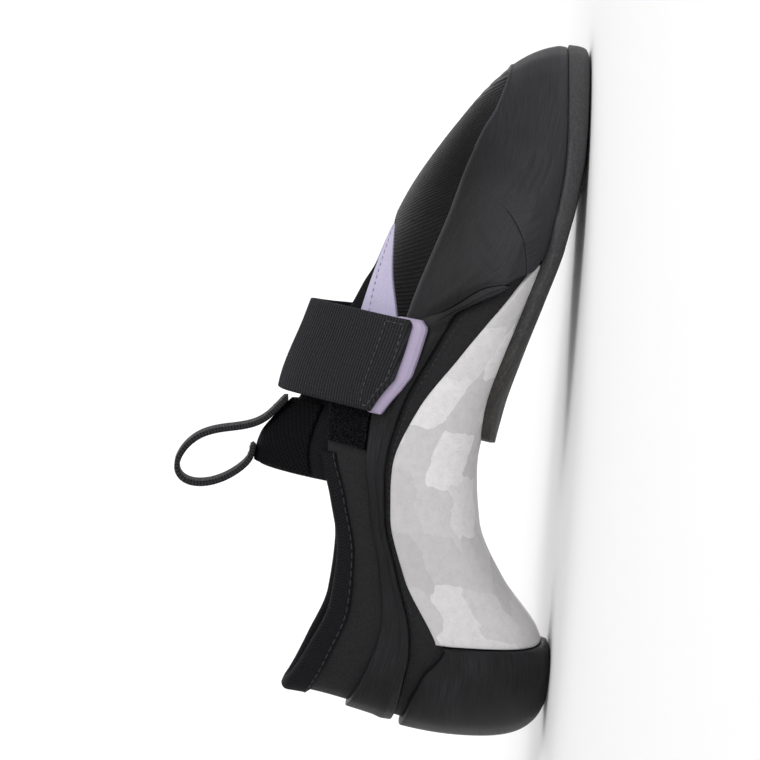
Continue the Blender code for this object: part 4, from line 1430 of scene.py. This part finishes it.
    def heel_cup(self) -> None:
        """Builds the rubber under and round the heel."""
        s = SIZES
        station = even_stations(14.30, LAST.heel, 0.9, 0.0013, 0.0009)
        top = BORDERS.cup_top(station)
        half = spread(0.075, 0.0014, 0.0, 0.0009)
        c = np.concatenate([-half[::-1], half[1:]])
        t = np.where(c[None, :] < 0, -station[:, None], station[:, None])
        w = np.abs(c)[None, :] * top[:, None]
        base = SKIN.at(t, w, s.gap + s.cup)
        share = self.maker.rounding(base, Edge.START | Edge.LEFT | Edge.RIGHT, 0.0010)
        high = SKIN.at(t, w, s.close + (s.gap + s.cup - s.close) * share)
        high[..., 2] = np.maximum(high[..., 2], 0.0)
        mesh = self.maker.shell("heel_cup_rubber", SKIN.at(t, w, s.close), high)
        self.add("heel_cup_rubber", mesh, "heel_cup")


@dataclass
class HalfSole:
    """The sole under the forefoot, with its upright ground edge."""

    maker: Maker
    rear_turn: float = 84.0
    corner: float = 0.0006
    bulge: tuple[float, float] = (0.95, 0.30)
    ledge: float = 0.8

    def build(self) -> None:
        """Builds the sole."""
        s = SIZES
        front, rear = BORDERS.sole_rear
        straight = np.linspace(0.0, front, 150)[:-1]
        angle = np.radians(np.linspace(0.0, self.rear_turn, 40))
        stations = np.concatenate([straight, front + (rear - front) * np.sin(angle)])
        full = BORDERS.sole_edge(front)
        edges = np.concatenate([BORDERS.sole_edge(straight), full * np.cos(angle) ** 0.5])
        inner = np.linspace(0.0, 1.0, 22)
        rise = np.linspace(0.0, 1.0, 9)[1:]
        lip = np.linspace(0.0, 1.0, 5)[1:]
        columns = np.concatenate([inner, 1 + rise, 2 + lip])
        c = np.concatenate([-columns[::-1], columns[1:]])
        station, column = np.meshgrid(stations, c, indexing="ij")
        t = np.where(column < 0, -station, station)
        edge = edges[:, None] + 0 * station
        lift = BORDERS.sole_lift(station)
        depth = lift + s.sole
        middle = SKIN.at(station, 0 * station, depth)
        seam = SKIN.at(t, edge, lift + s.sole_stand)
        foot = SKIN.at(t, edge, lift)
        out = seam - middle
        width = np.linalg.norm(out[..., :2], axis=-1)
        way = vector(out[..., 0], out[..., 1], 0 * width) / np.maximum(width, 1e-6)[..., None]
        ground = SKIN.at(t, np.minimum(edge, 0.5), depth)[..., 2]
        reach = np.maximum(width - s.sole_inset, 0.6 * width)
        k = np.abs(column)
        share = np.clip(k, 0.0, 1.0)
        low = middle + way * (reach * share)[..., None]
        low[..., 2] = middle[..., 2] + (ground - middle[..., 2]) * share ** 2 \
            + self.corner * ramp(share, 0.93, 1.0)
        corner = middle + way * reach[..., None]
        corner[..., 2] = ground + self.corner
        bulge = middle + way * (reach + self.bulge[0] * (width - reach))[..., None]
        bulge[..., 2] = ground + self.bulge[1] * (foot[..., 2] - ground)
        u = np.clip(k - 1, 0.0, 1.0)[..., None]
        side = bezier(corner, corner + (bulge - corner) * 0.5, bulge, seam, u)
        v = np.clip(k - 2, 0.0, 1.0)[..., None]
        ledge = seam + (foot - seam) * v * self.ledge
        points = np.where(k[..., None] <= 1, low, np.where(k[..., None] <= 2, side, ledge))
        points[..., 2] = np.maximum(points[..., 2], 0.0)
        top = SKIN.at(t, edge * np.clip(k, 0, 1), lift - s.gap + s.close)
        mesh = self.maker.shell("half_sole", top, points)
        self.maker.dress("half_sole", mesh, "sole_rubber_ground", "sole_rubber", ["outsole"])


@dataclass
class Waist:
    """The pale printed panel under the arch, with the stitches along its upper border."""

    maker: Maker

    def build(self) -> None:
        """Builds the panel and its seam."""
        s = SIZES
        station = even_stations(7.3, 14.28, 1.0, 0.0013, 0.0006, 0.0006)
        top = BORDERS.panel_top(station) - 0.01
        half = spread(0.055, 0.0013, 0.0, 0.0006)
        c = np.concatenate([-half[::-1], half[1:]])
        t = np.where(c[None, :] < 0, -station[:, None], station[:, None])
        w = np.abs(c)[None, :] * top[:, None]
        mesh = self.maker.cover("arch_suede", SKIN, t, w, s.close, s.gap + s.panel,
                                Edge.ROUND, 0.0006)
        self.maker.dress("arch_suede", mesh, "arch_suede_printed", "grey_suede", ["arch_panel"])
        rows = []
        for side in Side:
            stations = np.linspace(8.25, 13.9, 120)
            line = BORDERS.sling_low(stations) - 0.030
            rows.append(seam_on(SKIN, side.value * stations, line, 0.0))
        seam = Seam(0.0013, 0.0009, 0.0004).mesh("waist_stitches", rows)
        self.maker.dress("waist_stitches", seam, "thread_black_twisted", "black_microfibre")


def bridge(q: Grid, c: Grid, foot: Grid, height: float, reach: Grid | float,
           swell: Grid | float = 0.0) -> Grid:
    """Gives points of an arch over the throat that leaves the last on both sides.

    Args:
        q: the stations.
        c: the places across, -1 on the outer side and 1 on the inner side.
        foot: the height numbers where the arch leaves the last.
        height: how high it lies on the last there.
        reach: how far its handles reach, as a share of its span.
        swell: how much further its crown stands up.

    Returns:
        The arch's points.
    """
    left, right = SKIN.at(-q, foot, height), SKIN.at(q, foot, height)
    up_left = unit(left - SKIN.at(-q, foot - HANDLE_STEP, height))
    up_right = unit(right - SKIN.at(q, foot - HANDLE_STEP, height))
    handle = (np.linalg.norm(right - left, axis=-1) * reach)[..., None]
    over = bezier(left, left + handle * up_left, right + handle * up_right, right,
                  np.clip((c + 1) / 2, 0.0, 1.0)[..., None])
    return over + unit(up_left + up_right) * (swell * np.clip(1 - c ** 2, 0.0, 1.0))[..., None]


class Dome(Surface):
    """The tongue's way: under the throat's edges and arched over the opening between them."""

    hold_start = 8.0
    hold_drop = 0.08
    tuck_end = 1.75
    rise = ((7.0, 0.34), (8.0, 0.62), (9.0, 0.74), (10.0, 0.84), (11.0, 0.96))
    swell = ((7.0, 0.0), (7.6, 0.0024), (8.2, 0.0044), (8.9, 0.0052), (9.6, 0.0030), (10.2, 0.0))

    def __init__(self) -> None:
        """Works out the arch."""
        front, rear = BORDERS.tongue
        super().__init__(self.arch, np.linspace(front, rear + 0.3, 61),
                         np.linspace(-2.0, 2.0, 81), -1)

    @staticmethod
    def arch(q: Grid, c: Grid) -> Grid:
        """Gives the points of the arch."""
        depth = -(SIZES.wall + SIZES.gap)
        hold = 2.0 - Dome.hold_drop * np.clip(Dome.hold_start - q, 0.0, 1.0)
        tuck = hold - Dome.tuck_end
        beside = SKIN.at(np.where(c < 0, -q, q), hold - tuck * np.maximum(np.abs(c) - 1, 0), depth)
        over = bridge(q, c, hold, depth, np.interp(q, *np.array(Dome.rise).T),
                      np.interp(q, *np.array(Dome.swell).T))
        return np.where(np.abs(c)[..., None] >= 1, beside, over)


class Girdle(Surface):
    """The strap's way: up the outer side, free over the throat, down the inner side."""

    foot = 1.62
    reach = 0.78
    middle = 9.35

    def __init__(self) -> None:
        """Works out the way, and which station lies at which place along the shoe."""
        super().__init__(self.way_over, np.linspace(8.0, 10.8, 57), np.linspace(-1.6, 1.6, 129),
                         -1)
        stations = np.linspace(LAST.throat, LAST.heel - 4, 600)
        self.stations = stations[::-1]
        self.x = LAST.from_toe(LAST.column("wide_x", stations))[::-1]

    def way_over(self, q: Grid, c: Grid) -> Grid:
        """Gives the points of the way."""
        lift = SIZES.gap + SIZES.rand + SIZES.gap
        beside = SKIN.at(np.where(c < 0, -q, q), self.foot - np.maximum(np.abs(c) - 1, 0), lift)
        over = bridge(q, c, np.full(q.shape, self.foot), lift, self.reach)
        return np.where(np.abs(c)[..., None] >= 1, beside, over)

    def station(self, aside: Grid) -> Grid:
        """Gives the stations that lie a way towards the toe from the strap's middle."""
        middle = LAST.from_toe(LAST.column("wide_x", np.array(self.middle)))
        return np.interp(middle + aside, self.x, self.stations)


@dataclass
class Throat:
    """The knitted tongue, the elastic web over its rear and the lavender edging beside it."""

    maker: Maker
    dome: Dome
    web_half: float = 0.84
    edging_start: float = 7.2
    edging_top: float = 1.995
    seam_place: float = 0.64
    pucker_depth: float = 0.00035
    pucker_width: float = 0.0007
    pucker_pitch: float = 0.0023

    def build(self) -> None:
        """Builds the tongue, the web and the edging."""
        s = SIZES
        front, rear = BORDERS.tongue
        q = front + (rear - front) * spread(0.090, 0.0012, 0.0, 0.0008)
        a, c = np.meshgrid(q, np.linspace(-2.0, 2.0, 97), indexing="ij")
        mesh = self.maker.cover("tongue_knit", self.dome, a, c, -s.tongue, 0.0, Edge.END, 0.0008)
        self.maker.dress("tongue_knit", mesh, "tongue_knit_stretch", "black_knit", ["tongue"])
        q = BORDERS.band_front + (rear - 0.06 - BORDERS.band_front) * spread(
            0.025, 0.0007, 0.0007, 0.0007)
        c = self.web_half * (2 * spread(0.045, 0.0007, 0.0007, 0.0007) - 1)
        a, c = np.meshgrid(q, c, indexing="ij")
        mesh = self.maker.cover("elastic_web", self.dome, a, c, s.close, s.gap + s.band,
                                Edge.ROUND, 0.0007)
        self.maker.dress("elastic_web", mesh, "elastic_web_knitted", "black_knit",
                         ["elastic_band"])
        for side in Side:
            self.edging(side)

    def edging(self, side: Side) -> None:
        """Builds the folded edging on one side of the throat."""
        s = SIZES
        start, end = self.edging_start, BORDERS.pile[0] - 0.04
        station = even_stations(start, end, 1.9, 0.00045, 0.0006)
        w = lines_at(spread(0.012, 0.0003, 0.0006, 0.0008),
                     BORDERS.trim_low(station) + 0.004,
                     np.full(station.shape, self.edging_top))
        name = f"{side.name.lower()}_throat_edging"
        t = side.value * station[:, None] + 0 * w
        mesh = self.maker.cover(name, SKIN, t, w, s.close, s.gap + s.trim, Edge.ROUND, 0.0006,
                                self.puckers)
        self.maker.dress(name, mesh, "edging_microfibre_folded", "lavender_edging",
                         [f"{side.name.lower()}_throat_trim"])
        low = BORDERS.trim_low(station[4:])
        line = low + (self.edging_top - low) * self.seam_place
        seam = Seam(0.0015, 0.0008, 0.0004).mesh(
            f"{side.name.lower()}_throat_stitches",
            [seam_on(SKIN, side.value * station[4:], line, s.gap + s.trim - 0.0002)])
        self.maker.dress(f"{side.name.lower()}_throat_stitches", seam,
                         "thread_lavender_twisted", "lavender_edging")

    def puckers(self, points: Grid) -> Grid:
        """Gives the trough that the seam pulls into the edging, deeper at each stitch."""
        flow = Maker.flow(points) * MM
        across = flow[..., 1] - flow[:, :1, 1]
        off = across - self.seam_place * across[:, -1:]
        trough = np.exp(-(off / self.pucker_width) ** 2)
        pull = 0.7 + 0.3 * np.cos(2 * math.pi * flow[..., 0] / self.pucker_pitch)
        return -self.pucker_depth * trough * pull


@dataclass
class Closure:
    """The strap, the moulded tab under its end and the loop fabric that holds it."""

    maker: Maker
    girdle: Girdle
    tab_end: tuple[tuple[float, float], ...] = (
        (-1.0, -1.205), (-0.46, -1.30), (-0.14, -1.33), (0.86, -1.295), (1.0, -1.245))
    strap_end: tuple[tuple[float, float], ...] = (
        (-1.0, -1.140), (-0.26, -1.25), (0.92, -1.22), (1.0, -1.19))
    tab_rear: float = -0.45
    strap_rear: float = 1.36
    cross_seam: float = -1.07
    seam_inset: float = 0.034
    rib_pitch: float = 0.00100
    rib_depth: float = 0.00022
    way_per_place: float = 0.040
    tuck_span: tuple[float, float] = (-1.12, -1.04)
    tab_tuck: float = 0.93
    tab_side: float = 0.0006
    tab_edge: float = 0.0012
    tab_kept: float = 0.42
    rise_span: tuple[float, float] = (-0.30, 0.45)
    tuft_count: int = 5200
    tuft_length: float = 0.0013
    tuft_fat: float = 0.00009

    def build(self) -> None:
        """Builds the loop fabric, the tab and the strap."""
        self.loop_fabric()
        self.tab()
        self.strap()

    def outline(self, end: Sequence[tuple[float, float]], rear: float, half: float,
                step: float, tuck: float = 1.0) -> tuple[Grid, Grid]:
        """Gives the stations and places of a strap with a cut end.

        Args:
            end: shares of the half width, rear edge first, and the places where the end is cut.
            rear: the place of the other end.
            half: its half width.
            step: the step along it.
            tuck: the share of the width that stays behind the cut end.

        Returns:
            Grids of stations and of places.
        """
        across = 1 - 2 * spread(2 * half, 0.0010, 0.0008, 0.0008)
        reach = np.interp(across, *np.array(end).T)[None, :]
        along = spread(self.way_per_place * (rear - reach.min()), step, 0.0008, 0.0008)[:, None]
        c = reach + (rear - reach) * along
        width = half * np.interp(c, self.tuck_span, (1.0, tuck))
        return self.girdle.station(width * across[None, :]), c

    def loop_fabric(self) -> None:
        """Builds the fuzzy patch and its fibres."""
        s = SIZES
        front, rear = BORDERS.pile
        station = front + (rear - front) * spread(0.040, 0.0008, 0.0006, 0.0006)
        w = lines_at(spread(0.030, 0.0008, 0.0006, 0.0006), BORDERS.sling_high(station) + 0.02,
                     np.full(station.shape, BORDERS.rim))
        t = -station[:, None] + 0 * w
        mesh = self.maker.cover("loop_fabric", SKIN, t, w, s.close, s.gap + s.pile, Edge.ROUND,
                                0.0007)
        self.maker.dress("loop_fabric", mesh, "loop_pile_brushed", "black_webbing",
                         ["loop_patch"])
        self.fibres()

    def fibres(self) -> None:
        """Builds the patch's bent fibres, each with a three-sided root and one tip."""
        s = SIZES
        front, rear = BORDERS.pile
        draw = np.random.default_rng(7)
        station = draw.uniform(front, rear, self.tuft_count)
        low = BORDERS.sling_high(station) + 0.02
        place = low + (BORDERS.rim - low) * draw.uniform(0.0, 1.0, self.tuft_count)
        root = SKIN.at(-station, place, s.gap + s.pile - 0.0002)
        up = SKIN.normal(-station, place)
        lean = unit(up + draw.normal(0.0, 0.55, up.shape))
        side = unit(np.cross(lean, draw.normal(0.0, 1.0, up.shape)))
        length = self.tuft_length * draw.uniform(0.5, 1.0, (self.tuft_count, 1))
        other = np.cross(lean, side)
        bend = root + lean * length * 0.6 + side * length * 0.1
        tip = root + lean * length + side * length * 0.45
        fat = self.tuft_fat
        points = np.stack([root + side * fat, root - side * fat / 2 + other * fat,
                           root - side * fat / 2 - other * fat, bend + side * fat / 2,
                           bend - side * fat / 4 + other * fat / 2,
                           bend - side * fat / 4 - other * fat / 2, tip], axis=1)
        ring = [[0, 2, 1], [0, 1, 4, 3], [1, 2, 5, 4], [2, 0, 3, 5], [3, 4, 6], [4, 5, 6],
                [5, 3, 6]]
        faces = [[v + 7 * n for v in f] for n in range(self.tuft_count) for f in ring]
        tufts = bpy.data.meshes.new("loop_fibres")
        tufts.from_pydata(points.reshape(-1, 3).tolist(), [], faces)
        tufts.uv_layers.new(name="flow")
        self.maker.dress("loop_fibres", Maker.finish_mesh(tufts, 80.0), "loop_pile_fibre",
                         "black_webbing")

    def tab(self) -> None:
        """Builds the moulded lavender tab."""
        s = SIZES
        q, c = self.outline(self.tab_end, self.tab_rear, s.strap_width / 2 + self.tab_side,
                            0.0006, self.tab_tuck)
        mesh = self.maker.cover("tab_plastic", self.girdle, q, c, 0.0, s.tab, Edge.ROUND,
                                self.tab_edge, ends_kept=self.tab_kept,
                                sides_kept=self.tab_kept, flat=True)
        self.maker.dress("tab_plastic", mesh, "tab_plastic_moulded", "lavender_tab",
                         ["strap_tab"])

    def rise(self, c: Grid) -> Grid:
        """Gives the height of the strap's lower face above its way."""
        return (SIZES.tab + SIZES.gap) * (1 - np.interp(c, self.rise_span, (0.0, 1.0)))

    def strap(self) -> None:
        """Builds the webbing strap and the stitches round its end."""
        s = SIZES
        q, c = self.outline(self.strap_end, self.strap_rear, s.strap_width / 2, 0.00024)
        under = self.rise(c) - s.gap + s.close
        low = self.girdle.at(q, c, under)
        top = self.girdle.at(q, c, self.rise(c) + s.strap)
        share = self.maker.rounding(top, Edge.ROUND, 0.0008)
        fine = np.linspace(c.min(), c.max(), 600)
        middle = self.girdle.station(np.zeros(600))
        run = self.maker.flow(self.girdle.at(middle, fine, self.rise(fine))[:, None])[:, 0, 0]
        phase = np.interp(c, fine, run * MM) / self.rib_pitch
        rib = self.rib_depth * (np.cos(2 * math.pi * phase) - 1) / 2
        high = self.girdle.at(q, c, under + (self.rise(c) + s.strap + rib - under) * share)
        mesh = self.maker.shell("strap_webbing", low, high, {"ridge": phase}, 80.0)
        self.maker.dress("strap_webbing", mesh, "strap_webbing_woven", "black_webbing",
                         ["strap"])
        seam = Seam(0.0015, 0.0009, 0.00036).mesh("strap_stitches", self.seams())
        self.maker.dress("strap_stitches", seam, "thread_grey_twisted", "black_webbing")

    def seams(self) -> list[tuple[Grid, Grid]]:
        """Gives the seam round the strap's end and the one across the strap."""
        s = SIZES
        share = np.linspace(0.88, -0.88, 80)
        end = np.interp(share, *np.array(self.strap_end).T) + self.seam_inset
        side = np.linspace(0.0, 1.0, 12)[:-1]
        aside = np.concatenate([share[0] + 0 * side, share, share[-1] + 0 * side])
        place = np.concatenate([self.cross_seam + (end[0] - self.cross_seam) * side, end,
                                end[-1] + (self.cross_seam - end[-1]) * side])
        rows = ((aside, place), (share, np.full(share.shape, self.cross_seam)))
        return [seam_on(self.girdle, self.girdle.station(a * s.strap_width / 2), c,
                        s.tab + s.gap + s.strap) for a, c in rows]


@dataclass
class PullLoop:
    """The webbing loop at the front of the collar."""

    maker: Maker
    dome: Dome
    rib_pitch: float = 0.00100

    def build(self) -> None:
        """Builds the loop."""
        s = SIZES
        lift = s.gap + s.band + s.gap
        front, rear = BORDERS.band_front, BORDERS.tongue[1]

        def at(station: float, height: float) -> Grid:
            """Gives a point above the middle of the tongue's arch."""
            return self.dome.at(np.array(station), np.array(0.0), height)

        start, near = at(front + 0.05, lift), at(front + 0.45, lift)
        down = lift + s.loop_thick - s.gap + s.close
        seat, back = at(rear - 0.42, down), at(rear - 0.12, down)
        along = unit(near - start)
        rise = np.array([-along[2], 0.0, along[0]])
        rise *= -1 if rise[2] < 0 else 1
        peak = back + along * s.loop_reach * 0.55 + rise * s.loop_reach * 0.62
        u = np.linspace(0.0, 1.0, 40)[:, None]
        out = bezier(near, near + along * 0.012, peak - along * 0.014 + rise * 0.003, peak, u)
        home = bezier(peak, peak + along * 0.011 - rise * 0.003, back + along * 0.016, back, u)
        path = np.concatenate([start + (near - start) * u[:-1:4], out, home[1:],
                               back + (seat - back) * u[4::4]])
        path = self.eased(path)
        tangent = unit(np.gradient(path, axis=0))
        across = np.array([0.0, 1.0, 0.0])
        normal = np.cross(across[None, :], tangent)
        f = spread(s.loop_width, 0.0008, 0.0006, 0.0006) - 0.5
        base = path[:, None, :] + across * s.loop_width * f[None, :, None]
        share = self.maker.rounding(base, Edge.ROUND, 0.0006)
        middle = base + normal[:, None, :] * s.loop_thick / 2
        step = normal[:, None, :] * (s.loop_thick / 2 * share)[..., None]
        run = self.maker.flow(base)[..., 0]
        mesh = self.maker.shell("pull_loop_webbing", middle - step, middle + step,
                                {"ridge": run * MM / self.rib_pitch})
        self.maker.dress("pull_loop_webbing", mesh, "strap_webbing_woven", "black_webbing",
                         ["front_pull_loop"])
        face = middle + normal[:, None, :] * s.loop_thick / 2
        rows = [(face[k, 3:-3], normal[[k] * (face.shape[1] - 6)]) for k in (3, 7)]
        rows += [(middle[k, 3:-3] - normal[k] * s.loop_thick / 2,
                  -normal[[k] * (face.shape[1] - 6)]) for k in (-4, -8)]
        seam = Seam(0.0014, 0.0008, 0.00036).mesh("pull_loop_stitches", rows)
        self.maker.dress("pull_loop_stitches", seam, "thread_grey_twisted", "black_webbing")

    @staticmethod
    def eased(path: Grid) -> Grid:
        """Rounds the bends of a path, but keeps its ends."""
        for _ in range(10):
            path = path.copy()
            path[1:-1] = (path[:-2] + 2 * path[1:-1] + path[2:]) / 4
        return path


@dataclass
class Studio:
    """The pale seamless paper, the soft lights and the camera at the photograph's angle."""

    finishes: Finishes
    elevation: float = 1.6
    lean: float = 5.0
    roll: float = 4.0
    distance: float = 2.0
    scale: float = 3.05
    image: int = 760
    centre: tuple[float, float, float] = (0.094, 0.0, 0.062)
    sensor_mm: float = 36.0
    sight: float = 20.0
    sky: float = 0.45

    def build(self) -> None:
        """Builds the studio."""
        self.paper()
        self.lights()
        self.camera()

    def paper(self) -> None:
        """Makes a floor that bends up into a backdrop behind the shoe."""
        bend, back, far, wide = 1.2, 1.6, 4.0, 6.0
        profile = [(-far, 0.0), (back, 0.0)]
        profile += [(back + bend * math.sin(f), bend * (1 - math.cos(f)))
                    for f in np.linspace(0.0, math.pi / 2, 24)[1:]]
        profile.append((back + bend, bend + far))
        points = [(x, y, z) for y, z in profile for x in (-wide, wide)]
        faces = [[2 * i, 2 * i + 1, 2 * i + 3, 2 * i + 2] for i in range(len(profile) - 1)]
        mesh = bpy.data.meshes.new("paper")
        mesh.from_pydata(points, [], faces)
        mesh.shade_smooth()
        mesh.materials.append(self.finishes["studio_paper_seamless"])
        paper = bpy.data.objects.new("paper", mesh)
        bpy.context.scene.collection.objects.link(paper)

    def lights(self) -> None:
        """Sets a pale sky and three broad soft lights, shown without a film curve."""
        bpy.context.scene.view_settings.view_transform = "Standard"
        world = bpy.data.worlds.new("studio")
        world.use_nodes = True
        background = world.node_tree.nodes["Background"]
        background.inputs["Color"].default_value = linear("#FFFFFF")
        background.inputs["Strength"].default_value = self.sky
        bpy.context.scene.world = world
        for name, place, aim, size, power in (
                ("key", (0.9, -1.0, 1.1), self.centre, 1.0, 12.0),
                ("fill", (-0.8, -1.3, 0.5), self.centre, 1.2, 3.5),
                ("rim", (0.2, 1.0, 1.3), self.centre, 1.0, 7.0),
                ("backdrop_left", (-1.0, 0.9, 1.6), (-0.8, 2.8, 0.6), 1.2, 17.0),
                ("backdrop_right", (1.0, 0.9, 1.6), (0.8, 2.8, 0.6), 1.2, 17.0)):
            data = bpy.data.lights.new(name, "AREA")
            data.size, data.energy = size, power
            lamp = bpy.data.objects.new(name, data)
            lamp.location = place
            way = Vector(aim) - Vector(place)
            lamp.rotation_euler = way.to_track_quat("-Z", "Y").to_euler()
            bpy.context.scene.collection.objects.link(lamp)

    def camera(self) -> None:
        """Places the camera low beside the shoe, rolled so that the toe points up."""
        lean, tilt = math.radians(self.lean), math.radians(self.elevation)
        up = Vector((math.cos(lean), math.sin(lean), 0.0))
        side = Vector((0.0, 0.0, 1.0))
        back = up.cross(side)
        back = (back * math.cos(tilt) + side * math.sin(tilt)).normalized()
        left = up.cross(back)
        turn = math.radians(self.roll)
        image_up = (up * math.cos(turn) - left * math.sin(turn)).normalized()
        image_right = image_up.cross(back)
        data = bpy.data.cameras.new("camera")
        data.sensor_width = self.sensor_mm
        width = self.image / self.scale * MM
        data.lens = data.sensor_width * self.distance / width
        data.clip_end = self.sight
        camera = bpy.data.objects.new("camera", data)
        place = Vector(self.centre) + back * self.distance
        rotation = Matrix((image_right, image_up, back)).transposed().to_4x4()
        camera.matrix_world = Matrix.Translation(place) @ rotation
        bpy.context.scene.collection.objects.link(camera)
        bpy.context.scene.camera = camera


def main() -> None:
    """Builds the shoe piece by piece, then its studio."""
    logging.basicConfig(level=logging.INFO, format="%(name)s: %(message)s")
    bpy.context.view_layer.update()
    finishes = Finishes()
    maker = Maker(finishes)
    dome, girdle = Dome(), Girdle()
    Studio(finishes).build()
    for assembly in (Sock(maker), Rubbers(maker), HalfSole(maker), Waist(maker),
                     Throat(maker, dome), Closure(maker, girdle), PullLoop(maker, dome)):
        assembly.build()
        LOG.info("%s done", type(assembly).__name__)


if __name__ == "__main__":
    main()
